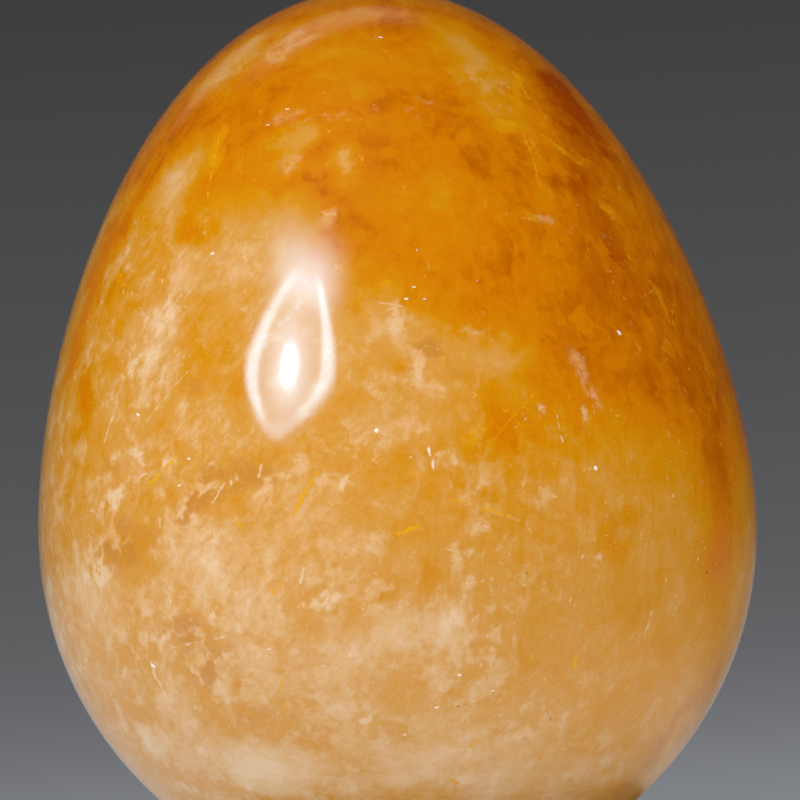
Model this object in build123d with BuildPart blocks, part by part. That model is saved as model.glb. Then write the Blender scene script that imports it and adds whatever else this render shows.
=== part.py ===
from build123d import *
import os
from math import asin, cos, radians, sin, sqrt

# A polished quartz egg, blunt end down, resting in a low turned hardwood stand.
# The stand is a moulded ring with a dished seat, a felt liner glued into that seat,
# three bun feet glued in by their tenons, and a felt pad under each foot.
# Millimetres, Z up, origin on the table under the egg's axis.

# Egg: a hemisphere below the waist, and above it one curve drawn in to a narrower crown
EGG_DIAMETER = 55.0
EGG_HEIGHT = 69.0
FLANK_PULL = 14.0  # how strongly the wall keeps upright above the waist
CROWN_PULL = 17.8  # how broadly the crown is rounded about its pole

# Seat: the dish in the ring, its felt, and the gap that the stone keeps from the felt
SEAT_LIP_DIAMETER = 34.0
SEAT_BORE_DIAMETER = 24.0
SEAT_CLEARANCE = 0.2
FELT_THICKNESS = 1.0
FELT_MARGIN = 0.7  # bare wood left above and below the felt
LIP_FILLET = 0.4

# Ring mouldings, from the underside up: lower bead, step, cove, step, upper bead, flat rim
LOWER_BEAD_DIAMETER = 44.0
LOWER_BEAD_HEIGHT = 4.0
UPPER_BEAD_HEIGHT = 2.4
RIM_WIDTH = 1.8  # flat wood on top, between the seat's lip and the upper bead
STEP_HEIGHT = 0.5
STEP_DEPTH = 0.6
COVE_HEIGHT = 2.6
COVE_DEPTH = 0.8
BORE_CHAMFER = 0.5

# Feet: a bun under a thin collar, with a tenon that is glued into the ring
FOOT_COUNT = 3
FIRST_FOOT_ANGLE = 90.0
BUN_DIAMETER = 9.6
BUN_HEIGHT = 5.6
SOLE_DIAMETER = 6.4
NECK_DIAMETER = 6.0
COLLAR_DIAMETER = 7.2
COLLAR_HEIGHT = 1.4
TENON_DIAMETER = 4.0
TENON_LENGTH = 4.0
TENON_CHAMFER = 0.4
GLUE_GAP = 0.1  # round the tenon
MORTISE_END_GAP = 0.4  # beyond the tenon's end

# Pads under the feet
PAD_THICKNESS = 1.0
PAD_CHAMFER = 0.2

# Levels, from the table up
foot_bottom = PAD_THICKNESS
ring_bottom = foot_bottom + BUN_HEIGHT + COLLAR_HEIGHT
lower_bead_top = ring_bottom + LOWER_BEAD_HEIGHT
cove_bottom = lower_bead_top + STEP_HEIGHT
cove_top = cove_bottom + COVE_HEIGHT
upper_bead_bottom = cove_top + STEP_HEIGHT
ring_top = upper_bead_bottom + UPPER_BEAD_HEIGHT

# The dish shares its centre with the egg's hemisphere, so the lip sets how high the egg sits
egg_radius = EGG_DIAMETER / 2
lip_radius = SEAT_LIP_DIAMETER / 2
bore_radius = SEAT_BORE_DIAMETER / 2
felt_face_radius = egg_radius + SEAT_CLEARANCE
dish_radius = felt_face_radius + FELT_THICKNESS
waist_level = ring_top + sqrt(dish_radius**2 - lip_radius**2)
dish_bottom = waist_level - sqrt(dish_radius**2 - bore_radius**2)
egg_bottom = waist_level - egg_radius
egg_top = egg_bottom + EGG_HEIGHT

# Radii of the ring's mouldings, the upper ones round the seat's lip, and the circle that the feet stand on
lower_bead_foot = LOWER_BEAD_DIAMETER / 2 - LOWER_BEAD_HEIGHT / 2
upper_bead_foot = lip_radius + RIM_WIDTH
upper_bead_radius = upper_bead_foot + UPPER_BEAD_HEIGHT / 2
cove_bottom_radius = lower_bead_foot - STEP_DEPTH
cove_top_radius = upper_bead_foot - STEP_DEPTH
cove_radius = (cove_bottom_radius + cove_top_radius) / 2 - COVE_DEPTH
foot_circle = (bore_radius + lower_bead_foot) / 2


def on_dish(radius, angle):
    """Point at that radius from the egg's waist centre, angle measured from straight down."""
    return (radius * sin(angle), waist_level - radius * cos(angle))


# Egg
with BuildPart() as egg:
    with BuildSketch(Plane.XZ):
        with BuildLine():
            CenterArc((0, waist_level), egg_radius, -90, 90)
            Bezier(
                (egg_radius, waist_level),
                (egg_radius, waist_level + FLANK_PULL),
                (CROWN_PULL, egg_top),
                (0, egg_top),
            )
            Line((0, egg_top), (0, egg_bottom))
        make_face()
    revolve(axis=Axis.Z)
egg.part.label = "egg"

# Turned ring: one profile with its mouldings outside and the egg's dish inside
with BuildPart() as seat_ring:
    with BuildSketch(Plane.XZ):
        with BuildLine():
            Polyline((bore_radius, dish_bottom), (bore_radius, ring_bottom), (lower_bead_foot, ring_bottom))
            ThreePointArc(
                (lower_bead_foot, ring_bottom),
                (LOWER_BEAD_DIAMETER / 2, (ring_bottom + lower_bead_top) / 2),
                (lower_bead_foot, lower_bead_top),
            )
            Polyline(
                (lower_bead_foot, lower_bead_top),
                (cove_bottom_radius, lower_bead_top),
                (cove_bottom_radius, cove_bottom),
            )
            ThreePointArc(
                (cove_bottom_radius, cove_bottom),
                (cove_radius, (cove_bottom + cove_top) / 2),
                (cove_top_radius, cove_top),
            )
            Polyline(
                (cove_top_radius, cove_top),
                (cove_top_radius, upper_bead_bottom),
                (upper_bead_foot, upper_bead_bottom),
            )
            ThreePointArc(
                (upper_bead_foot, upper_bead_bottom),
                (upper_bead_radius, (upper_bead_bottom + ring_top) / 2),
                (upper_bead_foot, ring_top),
            )
            Line((upper_bead_foot, ring_top), (lip_radius, ring_top))
            dish_middle = (asin(lip_radius / dish_radius) + asin(bore_radius / dish_radius)) / 2
            ThreePointArc(
                (lip_radius, ring_top),
                on_dish(dish_radius, dish_middle),
                (bore_radius, dish_bottom),
            )
        make_face()
    revolve(axis=Axis.Z)
    round_edges = seat_ring.edges().filter_by(GeomType.CIRCLE)
    lip_edge = round_edges.filter_by(lambda e: abs(e.radius - lip_radius) < 0.01).sort_by(Axis.Z)[-1]
    fillet(lip_edge, radius=LIP_FILLET)
    chamfer(seat_ring.edges().group_by(Axis.Z)[0].sort_by(SortBy.RADIUS)[0], length=BORE_CHAMFER)
    with BuildSketch(Plane.XY.offset(ring_bottom)):
        with PolarLocations(foot_circle, FOOT_COUNT, start_angle=FIRST_FOOT_ANGLE):
            Circle(TENON_DIAMETER / 2 + GLUE_GAP)
    extrude(amount=TENON_LENGTH + MORTISE_END_GAP, mode=Mode.SUBTRACT)
seat_ring.part.label = "seat_ring"

# Felt liner: an even band of felt that follows the dish, short of its two edges
felt_low = asin(bore_radius / dish_radius) + FELT_MARGIN / dish_radius
felt_high = asin(lip_radius / dish_radius) - FELT_MARGIN / dish_radius
felt_middle = (felt_low + felt_high) / 2
with BuildPart() as seat_liner:
    with BuildSketch(Plane.XZ):
        with BuildLine():
            ThreePointArc(*[on_dish(dish_radius, a) for a in (felt_low, felt_middle, felt_high)])
            Line(on_dish(dish_radius, felt_high), on_dish(felt_face_radius, felt_high))
            ThreePointArc(*[on_dish(felt_face_radius, a) for a in (felt_high, felt_middle, felt_low)])
            Line(on_dish(felt_face_radius, felt_low), on_dish(dish_radius, felt_low))
        make_face()
    revolve(axis=Axis.Z)
seat_liner.part.label = "seat_liner"

# Feet and their pads, spaced evenly round the ring
stand_pieces = [seat_ring.part, seat_liner.part]
for number in range(FOOT_COUNT):
    bearing = radians(FIRST_FOOT_ANGLE + number * 360 / FOOT_COUNT)
    foot_centre = (foot_circle * cos(bearing), foot_circle * sin(bearing), 0)
    foot_plane = Plane(foot_centre, x_dir=(cos(bearing), sin(bearing), 0), z_dir=(sin(bearing), -cos(bearing), 0))
    foot_axis = Axis(foot_centre, (0, 0, 1))
    collar_bottom = foot_bottom + BUN_HEIGHT
    tenon_top = ring_bottom + TENON_LENGTH

    with BuildPart() as foot:
        with BuildSketch(foot_plane):
            with BuildLine():
                Line((0, foot_bottom), (SOLE_DIAMETER / 2, foot_bottom))
                ThreePointArc(
                    (SOLE_DIAMETER / 2, foot_bottom),
                    (BUN_DIAMETER / 2, foot_bottom + BUN_HEIGHT / 2),
                    (NECK_DIAMETER / 2, collar_bottom),
                )
                Polyline(
                    (NECK_DIAMETER / 2, collar_bottom),
                    (COLLAR_DIAMETER / 2, collar_bottom),
                    (COLLAR_DIAMETER / 2, ring_bottom),
                    (TENON_DIAMETER / 2, ring_bottom),
                    (TENON_DIAMETER / 2, tenon_top - TENON_CHAMFER),
                    (TENON_DIAMETER / 2 - TENON_CHAMFER, tenon_top),
                    (0, tenon_top),
                    (0, foot_bottom),
                )
            make_face()
        revolve(axis=foot_axis)
    foot.part.label = f"foot_{number + 1}"

    with BuildPart() as foot_pad:
        with BuildSketch(Plane(foot_centre)):
            Circle(SOLE_DIAMETER / 2)
        extrude(amount=PAD_THICKNESS)
        chamfer(foot_pad.edges().group_by(Axis.Z)[0], length=PAD_CHAMFER)
    foot_pad.part.label = f"foot_pad_{number + 1}"

    stand_pieces += [foot.part, foot_pad.part]

os.makedirs("parts", exist_ok=True)
for piece in [egg.part, *stand_pieces]:
    export_step(piece, f"parts/{piece.label}.step")
    print(piece.label, round(piece.volume, 1))
print("egg from", round(egg_bottom, 3), "to", round(egg_top, 3), "waist", round(waist_level, 3))
print("ring from", round(ring_bottom, 3), "to", round(ring_top, 3), "feet on radius", round(foot_circle, 3))
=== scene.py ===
"""A polished golden quartz egg in a low turned stand: its pieces, its finishes and a small studio."""

from cmath import phase, rect
from collections import namedtuple
from math import asin, atan, cos, hypot, pi, radians, sin, tan

import bmesh
import bpy
import numpy as np
from bpy.props import FloatProperty, FloatVectorProperty, IntProperty, PointerProperty
from mathutils import Matrix, Vector, noise
from mathutils.bvhtree import BVHTree


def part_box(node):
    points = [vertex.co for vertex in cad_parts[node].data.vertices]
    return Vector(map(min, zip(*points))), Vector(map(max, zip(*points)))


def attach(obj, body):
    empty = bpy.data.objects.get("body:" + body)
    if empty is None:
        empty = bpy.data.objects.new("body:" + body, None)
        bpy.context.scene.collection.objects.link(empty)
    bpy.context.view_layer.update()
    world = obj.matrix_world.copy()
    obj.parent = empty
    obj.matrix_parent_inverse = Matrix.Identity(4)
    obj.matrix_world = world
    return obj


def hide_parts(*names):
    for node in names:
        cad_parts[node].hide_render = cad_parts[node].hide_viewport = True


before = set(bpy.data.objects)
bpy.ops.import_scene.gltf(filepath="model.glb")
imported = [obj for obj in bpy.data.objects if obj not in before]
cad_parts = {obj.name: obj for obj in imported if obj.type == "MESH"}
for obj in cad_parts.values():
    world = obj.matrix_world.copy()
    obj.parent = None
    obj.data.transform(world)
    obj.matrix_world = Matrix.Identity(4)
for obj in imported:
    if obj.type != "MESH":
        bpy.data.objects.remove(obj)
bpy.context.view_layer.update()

bl_info = {
    "name": "Quartz egg on a turned stand",
    "version": (1, 0, 0),
    "blender": (4, 5, 0),
    "location": "View3D > Sidebar > Egg",
    "description": "Builds a polished quartz egg, its turned stand and a studio around the packed frame",
    "category": "Object",
}

MM = 0.001

# Places from the frame
egg_low, egg_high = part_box("egg")
WAIST_RADIUS = (egg_high.x - egg_low.x) / 2
WAIST_LEVEL = egg_low.z + WAIST_RADIUS
EGG_HEIGHT = egg_high.z - egg_low.z
ring_low, ring_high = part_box("seat_ring")
RING_RADIUS = (ring_high.x - ring_low.x) / 2
RING_BOTTOM = ring_low.z
RING_TOP = ring_high.z
foot_low, foot_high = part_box("foot_1")
BUN_RADIUS = (foot_high.x - foot_low.x) / 2
FOOT_BOTTOM = foot_low.z
FOOT_CIRCLE = (foot_high.y + foot_low.y) / 2
pad_low, pad_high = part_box("foot_pad_1")
PAD_RADIUS = (pad_high.x - pad_low.x) / 2
FEET = ("foot_1", "foot_2", "foot_3")
FOOT_PADS = ("foot_pad_1", "foot_pad_2", "foot_pad_3")
FIRST_FOOT = pi / 2

# The photograph's frame, in its own pixels, and what the camera aims at
PHOTO_SIDE = 800
FRAME_WIDTH = 61.22 * MM
AIM = Vector((0.84 * MM, 0, WAIST_LEVEL + 9.95 * MM))


# Sizes and colours that a user would change


def length(name, description, default):
    """A size in metres."""
    return FloatProperty(name=name, description=description, default=default, unit="LENGTH", precision=5)


def angle(name, description, degrees):
    """A turn, given here in degrees."""
    return FloatProperty(name=name, description=description, default=radians(degrees), subtype="ANGLE")


def colour(name, description, red, green, blue):
    """A colour in linear light."""
    tint = (red, green, blue, 1)
    return FloatVectorProperty(
        name=name, description=description, default=tint, size=4, min=0, max=1, subtype="COLOR"
    )


def share(name, description, default, highest=1.0):
    """A plain number from 0 up."""
    return FloatProperty(name=name, description=description, default=default, min=0, max=highest)


class EggShape(bpy.types.PropertyGroup):
    """The egg's outline: a hemisphere below the waist and one drawn-in curve above it."""

    waist_radius: length("Waist radius", "Radius at the widest level", WAIST_RADIUS)
    waist_level: length("Waist level", "Height of the widest level above the table", WAIST_LEVEL)
    height: length("Height", "From the blunt end to the crown", EGG_HEIGHT)
    flank_pull: length("Flank pull", "How strongly the wall keeps upright above the waist", 14.0 * MM)
    crown_pull: length("Crown pull", "How broadly the crown is rounded", 17.8 * MM)
    unevenness: length("Unevenness", "How far hand polishing leaves the surface from true", 0.02 * MM)
    divisions: IntProperty(
        name="Divisions", description="Faces along each edge of the mesh's six sides", default=124
    )


class QuartzLook(bpy.types.PropertyGroup):
    """The stone's colours, from clear and deeply stained to milky."""

    deep: colour("Deep stain", "Clear stone with the most iron in it", 0.36, 0.058, 0.0)
    amber: colour("Amber", "Clear stained stone", 0.63, 0.19, 0.0)
    gold: colour("Gold", "Lightly clouded stone", 0.645, 0.262, 0.002)
    honey: colour("Honey", "Clouded stone", 0.67, 0.325, 0.062)
    cream: colour("Cream", "Milky stone", 0.735, 0.44, 0.195)
    veil: colour("Veil", "A veil just below the surface", 0.80, 0.57, 0.345)
    tea: colour("Tea", "Clear brownish stone inside the milk", 0.56, 0.225, 0.03)
    yellow: colour("Yellow stain", "Streaks of yellow iron stain", 0.78, 0.37, 0.004)
    # Painted glints: this colour is painted into the stone at the sparkling dots
    glint: colour("Glint", "Open flecks that throw the light back", 0.98, 0.93, 0.86)
    speck: colour("Speck", "Dark specks", 0.16, 0.06, 0.012)
    depth: length("Depth", "How far light wanders below the surface", 0.8 * MM)
    scatter: share("Scatter", "Share of the light that wanders below the surface", 0.25)
    haze: share("Haze", "Strength of the soft sheen that fine polishing scratches add", 0.12)
    polish: share("Roughness", "Roughness of the polished surface", 0.04)


class StandShape(bpy.types.PropertyGroup):
    """The turned ring's mouldings and seat, and the feet."""

    lip_radius: length("Lip radius", "Radius of the dished seat's lip", 17.0 * MM)
    bore_radius: length("Bore radius", "Radius of the hole below the egg", 12.0 * MM)
    bore_chamfer: length("Bore chamfer", "Chamfer round the hole's lower edge", 0.5 * MM)
    rim_width: length("Rim width", "Flat wood between the seat's lip and the upper bead", 1.8 * MM)
    upper_bead: length("Upper bead", "Height of the upper bead", 2.4 * MM)
    lower_bead: length("Lower bead", "Height of the lower bead", 4.0 * MM)
    step_height: length("Step height", "Height of the steps beside the cove", 0.5 * MM)
    step_depth: length("Step depth", "Depth of the steps beside the cove", 0.6 * MM)
    cove_depth: length("Cove depth", "Depth of the cove", 0.8 * MM)
    sole_radius: length("Sole radius", "Radius of a foot's lower end", 3.2 * MM)
    neck_radius: length("Neck radius", "Radius of a foot above its bun", 3.0 * MM)
    collar_radius: length("Collar radius", "Radius of a foot's collar", 3.6 * MM)
    collar_height: length("Collar height", "Height of a foot's collar", 1.4 * MM)
    edge: length("Softened edges", "How far sanding has rounded each edge", 0.14 * MM)


class WoodLook(bpy.types.PropertyGroup):
    """The stand's lacquered hardwood."""

    early: colour("Early wood", "The paler part of each growth ring", 0.30, 0.125, 0.048)
    late: colour("Late wood", "The darker part of each growth ring", 0.165, 0.060, 0.022)
    pore: colour("Pores", "Open pores along the grain", 0.06, 0.022, 0.010)
    ring_spacing: length("Growth rings", "Spacing of the growth rings", 0.95 * MM)
    lacquer: share("Lacquer", "Strength of the lacquer's gloss", 0.35)
    roughness: share("Roughness", "Roughness of the wood below the lacquer", 0.38)


class FeltLook(bpy.types.PropertyGroup):
    """The felt in the seat and under the feet."""

    ground: colour("Ground", "The felt's own colour", 0.030, 0.062, 0.043)
    fibre: colour("Fibre", "Fibres that catch the light", 0.075, 0.135, 0.098)
    thickness: length("Thickness", "Thickness of the felt in the seat", 1.0 * MM)
    margin: length("Margin", "Bare wood above and below the felt in the seat", 0.7 * MM)
    fibre_length: length("Fibre length", "Length of the fibres on its surface", 0.9 * MM)
    fibre_radius: length("Fibre radius", "Half the thickness of a fibre", 0.014 * MM)
    fibre_lift: length("Fibre lift", "How far a fibre's bend stands off the felt", 0.09 * MM)
    lumps: length("Lumps", "How uneven the felt's face is", 0.07 * MM)
    density: FloatProperty(name="Density", description="Fibres to the square metre", default=7e6, min=0)


class StageLook(bpy.types.PropertyGroup):
    """The studio: camera, lamps, floor and backdrop."""

    roll: angle("Roll", "How far the camera leans to the right", 3.81)
    elevation: angle("Elevation", "How far the camera looks down", 2.0)
    lens: FloatProperty(name="Lens", description="Focal length in millimetres", default=350, min=20)
    glow: share("Reflector", "Radiance of the key reflector's rim, as the polish shows it", 20.0, 200)
    glow_tint: colour("Reflector colour", "Colour of the key reflector", 0.37, 0.74, 1.0)
    key: share("Key light", "Strength of the key lamp in watts", 0.05, 50)
    fill: share("Fill light", "Strength of the fill lamp at the right in watts", 0.06, 50)
    low: share("Low light", "Strength of the low lamp in front in watts", 0.12, 50)
    top: share("Top light", "Strength of the lamp above in watts", 2.65, 50)
    ambient: share("Ambient light", "Brightness of the room above, as it lights the pieces", 0.40, 5)
    bounce: share("Bounced light", "Brightness of the wide floor, as it lights the pieces", 1.96, 5)


# Node building


class Wire:
    """A node's output, so that maths on numbers reads as an expression, and node() adds any other node."""

    def __init__(self, tree, socket=None):
        self.tree = tree
        self.socket = socket

    def node(self, kind, settings=None, inputs=None, out=0):
        """Adds a node, sets it up, feeds its sockets and gives one of its outputs."""
        node = self.tree.nodes.new(kind)
        for name, value in (settings or {}).items():
            if name == "stops":
                set_stops(node.color_ramp, value)
            else:
                setattr(node, name, value)
        for name, value in (inputs or {}).items():
            socket = find_socket(node.inputs, name)
            if isinstance(value, Wire):
                self.tree.links.new(value.socket, socket)
            else:
                socket.default_value = value
        return Wire(self.tree, find_socket(node.outputs, out)) if node.outputs else node

    def math(self, operation, *values):
        """One Math node on these values."""
        names = ("Value", "Value_001", "Value_002")
        return self.node("ShaderNodeMath", {"operation": operation}, dict(zip(names, values)))

    def vector(self, operation, *others, out="Vector"):
        """One Vector Math node, with this vector as its first input."""
        names = ("Vector", "Vector_001", "Vector_002")
        inputs = dict(zip(names, (self, *others)))
        return self.node("ShaderNodeVectorMath", {"operation": operation}, inputs, out)

    def part(self, axis):
        """One part of this vector, X, Y or Z."""
        return self.node("ShaderNodeSeparateXYZ", None, {"Vector": self}, axis)

    def joined(self, **parts):
        """A vector with these parts, and 0 for the others."""
        return self.node("ShaderNodeCombineXYZ", None, parts)

    def __add__(self, other):
        return self.math("ADD", self, other)

    def __sub__(self, other):
        return self.math("SUBTRACT", self, other)

    def __rsub__(self, other):
        return self.math("SUBTRACT", other, self)

    def __mul__(self, other):
        return self.math("MULTIPLY", self, other)

    def __truediv__(self, other):
        return self.math("DIVIDE", self, other)

    def __pow__(self, other):
        return self.math("POWER", self, other)

    def __abs__(self):
        return self.math("ABSOLUTE", self)

    __radd__ = __add__
    __rmul__ = __mul__

    def most(self, other):
        """The larger of two values."""
        return self.math("MAXIMUM", self, other)

    def least(self, other):
        """The smaller of two values."""
        return self.math("MINIMUM", self, other)

    def rise(self, low, high):
        """A smooth rise from 0 at low to 1 at high."""
        limits = {"Value": self, "From Min": low, "From Max": high}
        return self.node("ShaderNodeMapRange", {"interpolation_type": "SMOOTHSTEP"}, limits, "Result")

    def mix(self, first, second):
        """The first colour where this is 0, the second where it is 1."""
        colours = {"Factor_Float": self, "A_Color": first, "B_Color": second}
        return self.node("ShaderNodeMix", {"data_type": "RGBA"}, colours, "Result_Color")

    def noise(self, size, detail=4.0, roughness=0.55, kind="FBM", out="Fac"):
        """Noise at this place from 0 to 1, with its largest lumps about this size in metres."""
        inputs = {"Vector": self, "Scale": 1 / size, "Detail": detail, "Roughness": roughness}
        return self.node("ShaderNodeTexNoise", {"noise_type": kind}, inputs, out)

    def cells(self, size, *outs):
        """Cells of about this size in metres: these outputs of one Voronoi node."""
        first = self.node("ShaderNodeTexVoronoi", None, {"Vector": self, "Scale": 1 / size}, outs[0])
        return [Wire(self.tree, find_socket(first.socket.node.outputs, out)) for out in outs]

    def along(self, turn, stretch):
        """This place turned back by these angles and drawn out along its first axis."""
        inputs = {"Vector": self, "Rotation": turn, "Scale": (stretch, 1, 1)}
        return self.node("ShaderNodeMapping", {"vector_type": "TEXTURE"}, inputs)

    def shifted(self, size, amount, detail=3.0):
        """This place pushed about by noise of this size, by up to about this amount."""
        push = self.noise(size, detail, out="Color").vector("SUBTRACT", (0.5, 0.5, 0.5))
        return self.vector("ADD", push.vector("MULTIPLY", (2 * amount,) * 3))


def find_socket(sockets, name):
    """A socket in use, by its number, identifier or name."""
    used = [s for s in sockets if s.enabled]
    if isinstance(name, int):
        return used[name]
    return next(s for s in used if name in (s.identifier, s.name))


def set_stops(ramp, stops):
    """Gives a colour ramp these stops, each a place and a colour."""
    while len(ramp.elements) < len(stops):
        ramp.elements.new(1.0)
    for element, (position, tint) in zip(ramp.elements, stops):
        element.position = position
        element.color = tint


def new_material(name):
    """An empty material, its wire and its output node."""
    material = bpy.data.materials.new(name)
    material.use_nodes = True
    tree = material.node_tree
    tree.nodes.clear()
    return material, Wire(tree), tree.nodes.new("ShaderNodeOutputMaterial")


def principled_material(name, inputs_of):
    """A material of one Principled shader, with the inputs that inputs_of gives for a place on the object."""
    material, wire, output = new_material(name)
    place = wire.node("ShaderNodeTexCoord", out="Object")
    shader = wire.node("ShaderNodeBsdfPrincipled", None, inputs_of(place))
    wire.tree.links.new(shader.socket, output.inputs["Surface"])
    return material


def geometry_tree(name, inputs):
    """A new geometry tree with these named inputs, its wire and a wire for each input."""
    tree = bpy.data.node_groups.new(name, "GeometryNodeTree")
    for label, kind in inputs.items():
        tree.interface.new_socket(label, in_out="INPUT", socket_type=kind)
    tree.interface.new_socket("Geometry", in_out="OUTPUT", socket_type="NodeSocketGeometry")
    start = tree.nodes.new("NodeGroupInput")
    wires = {label: Wire(tree, start.outputs[label]) for label in inputs}
    return tree, Wire(tree), wires


def end_tree(wire, geometry, material):
    """Realizes a tree's instances, gives them their material and closes the tree."""
    solid = wire.node("GeometryNodeRealizeInstances", None, {"Geometry": geometry})
    dressed = wire.node("GeometryNodeSetMaterial", None, {"Geometry": solid, "Material": material})
    output = wire.tree.nodes.new("NodeGroupOutput")
    wire.tree.links.new(dressed.socket, output.inputs["Geometry"])


def grow(name, tree, values, mesh=None):
    """Runs a geometry tree on a mesh and gives an object that holds the result as a plain mesh."""
    piece = bpy.data.objects.new(name, mesh or bpy.data.meshes.new(name))
    bpy.context.scene.collection.objects.link(piece)
    modifier = piece.modifiers.new("tree", "NODES")
    modifier.node_group = tree
    for item in tree.interface.items_tree:
        if item.in_out == "INPUT" and item.name in values:
            modifier[item.identifier] = values[item.name]
    depsgraph = bpy.context.evaluated_depsgraph_get()
    made = bpy.data.meshes.new_from_object(piece.evaluated_get(depsgraph), depsgraph=depsgraph)
    piece.modifiers.clear()
    piece.data = made
    made.name = name
    return piece


# The camera's view, which places what the photograph shows


class View:
    """The camera's axes, and the egg's surface behind each pixel of the photograph."""

    def __init__(self, look):
        lean = Matrix.Rotation(look.roll, 3, "Y")
        tilt = Matrix.Rotation(-look.elevation, 3, "X")
        self.right = tilt @ lean @ Vector((1, 0, 0))
        self.up = tilt @ lean @ Vector((0, 0, 1))
        self.ahead = tilt @ Vector((0, 1, 0))
        self.lens = look.lens
        self.half = atan(SENSOR_WIDTH / 2 / look.lens)
        self.place = AIM - self.ahead * (FRAME_WIDTH / 2 / tan(self.half))
        self.surface = None

    def ray(self, x, y):
        """The direction in which the camera sees a pixel."""
        reach = tan(self.half) * 2 / PHOTO_SIDE
        across = self.right * (x - PHOTO_SIDE / 2) * reach
        upward = self.up * (PHOTO_SIDE / 2 - y) * reach
        return (self.ahead + across + upward).normalized()

    def spot(self, x, y):
        """The egg's surface and its normal at a pixel."""
        place, normal, _, _ = self.surface.ray_cast(self.place, self.ray(x, y))
        if place is None:
            raise ValueError(f"pixel {x}, {y} misses the egg")
        return place, normal

    def patch(self, x, y, half_length, half_width, slant):
        """An oval patch that looks this large in pixels: its middle, its axes and its reach along them."""
        middle, normal = self.spot(x, y)
        turn = radians(slant)
        first = self.laid(self.right * cos(turn) + self.up * sin(turn), normal) * half_length
        second = self.laid(self.up * cos(turn) - self.right * sin(turn), normal) * half_width
        second -= first * first.dot(second) / first.length_squared
        reach = Vector((first.length, second.length, max(first.length, second.length)))
        return middle, Matrix((first.normalized(), second.normalized(), normal)), reach

    def laid(self, across, normal):
        """One pixel's step across the picture, laid on a surface of this normal."""
        slope = across.dot(normal) / self.ahead.dot(normal)
        slope = max(-STEEPEST, min(STEEPEST, slope))
        return (across - self.ahead * slope) * FRAME_WIDTH / PHOTO_SIDE


SENSOR_WIDTH = 36
NEAREST_SEEN = 0.01
# The most that a patch is drawn out towards the limb
STEEPEST = 2.5


# Egg


def egg_tree():
    """A tree that swells a cube's even faces into the egg by its outline's rule."""
    sizes = ("Waist Radius", "Waist Level", "Height", "Flank Pull", "Crown Pull", "Unevenness")
    inputs = {label: "NodeSocketFloat" for label in sizes}
    inputs |= {"Divisions": "NodeSocketInt", "Material": "NodeSocketMaterial"}
    tree, wire, given = geometry_tree("egg_by_rule", inputs)
    edge = given["Divisions"] + 1
    vertices = {"Vertices X": edge, "Vertices Y": edge, "Vertices Z": edge}
    cube = wire.node("GeometryNodeMeshCube", None, {"Size": (2, 2, 2), **vertices}, "Mesh")

    # Even angles across each face of the cube
    corner = wire.node("GeometryNodeInputPosition").vector("SCALE")
    corner.socket.node.inputs["Scale"].default_value = pi / 4
    outward = corner.vector("TANGENT").vector("NORMALIZE")
    level = outward.part("Z")
    sideways = outward.vector("MULTIPLY", (1, 1, 0)).vector("NORMALIZE")

    # Above the waist the outline is one cubic curve from the waist to the crown
    t = wire.math("ARCSINE", level.most(0.0).least(1.0)) / (pi / 2)
    s = 1 - t
    rise = given["Height"] - given["Waist Radius"]
    out = given["Waist Radius"] * (s * s * s + 3 * s * s * t) + 3 * given["Crown Pull"] * s * t * t
    up = 3 * given["Flank Pull"] * s * s * t + rise * (3 * s * t * t + t * t * t)
    upright = wire.joined(Z=up)
    upper = scaled(sideways, out).vector("ADD", upright)
    lower = scaled(outward, given["Waist Radius"])
    above = wire.math("GREATER_THAN", level, 0.0)
    halves = {"Factor_Float": above, "A_Vector": lower, "B_Vector": upper}
    shape = wire.node("ShaderNodeMix", {"data_type": "VECTOR"}, halves, "Result_Vector")
    raised = shape.vector("ADD", wire.joined(Z=given["Waist Level"]))
    wander = (raised.noise(WAVE_LENGTH, 1.0) - 0.5) * given["Unevenness"]
    ground = raised.vector("ADD", scaled(outward, wander))

    egg = wire.node("GeometryNodeSetPosition", None, {"Geometry": cube, "Position": ground})
    smooth = wire.node("GeometryNodeSetShadeSmooth", None, {"Geometry": egg, "Shade Smooth": True})
    end_tree(wire, smooth, given["Material"])
    return tree


WAVE_LENGTH = 14 * MM


def scaled(vector, factor, wire=None):
    """A vector times a value."""
    inputs = {"Vector": vector, "Scale": factor}
    return (wire or vector).node("ShaderNodeVectorMath", {"operation": "SCALE"}, inputs)


# What the photograph shows in the stone, with some painted light among it, marked where it stands. Each patch
# has its middle, half length and half width in pixels, its slant in degrees and its strength
Patch = namedtuple("Patch", "x y half_length half_width slant strength")

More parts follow.
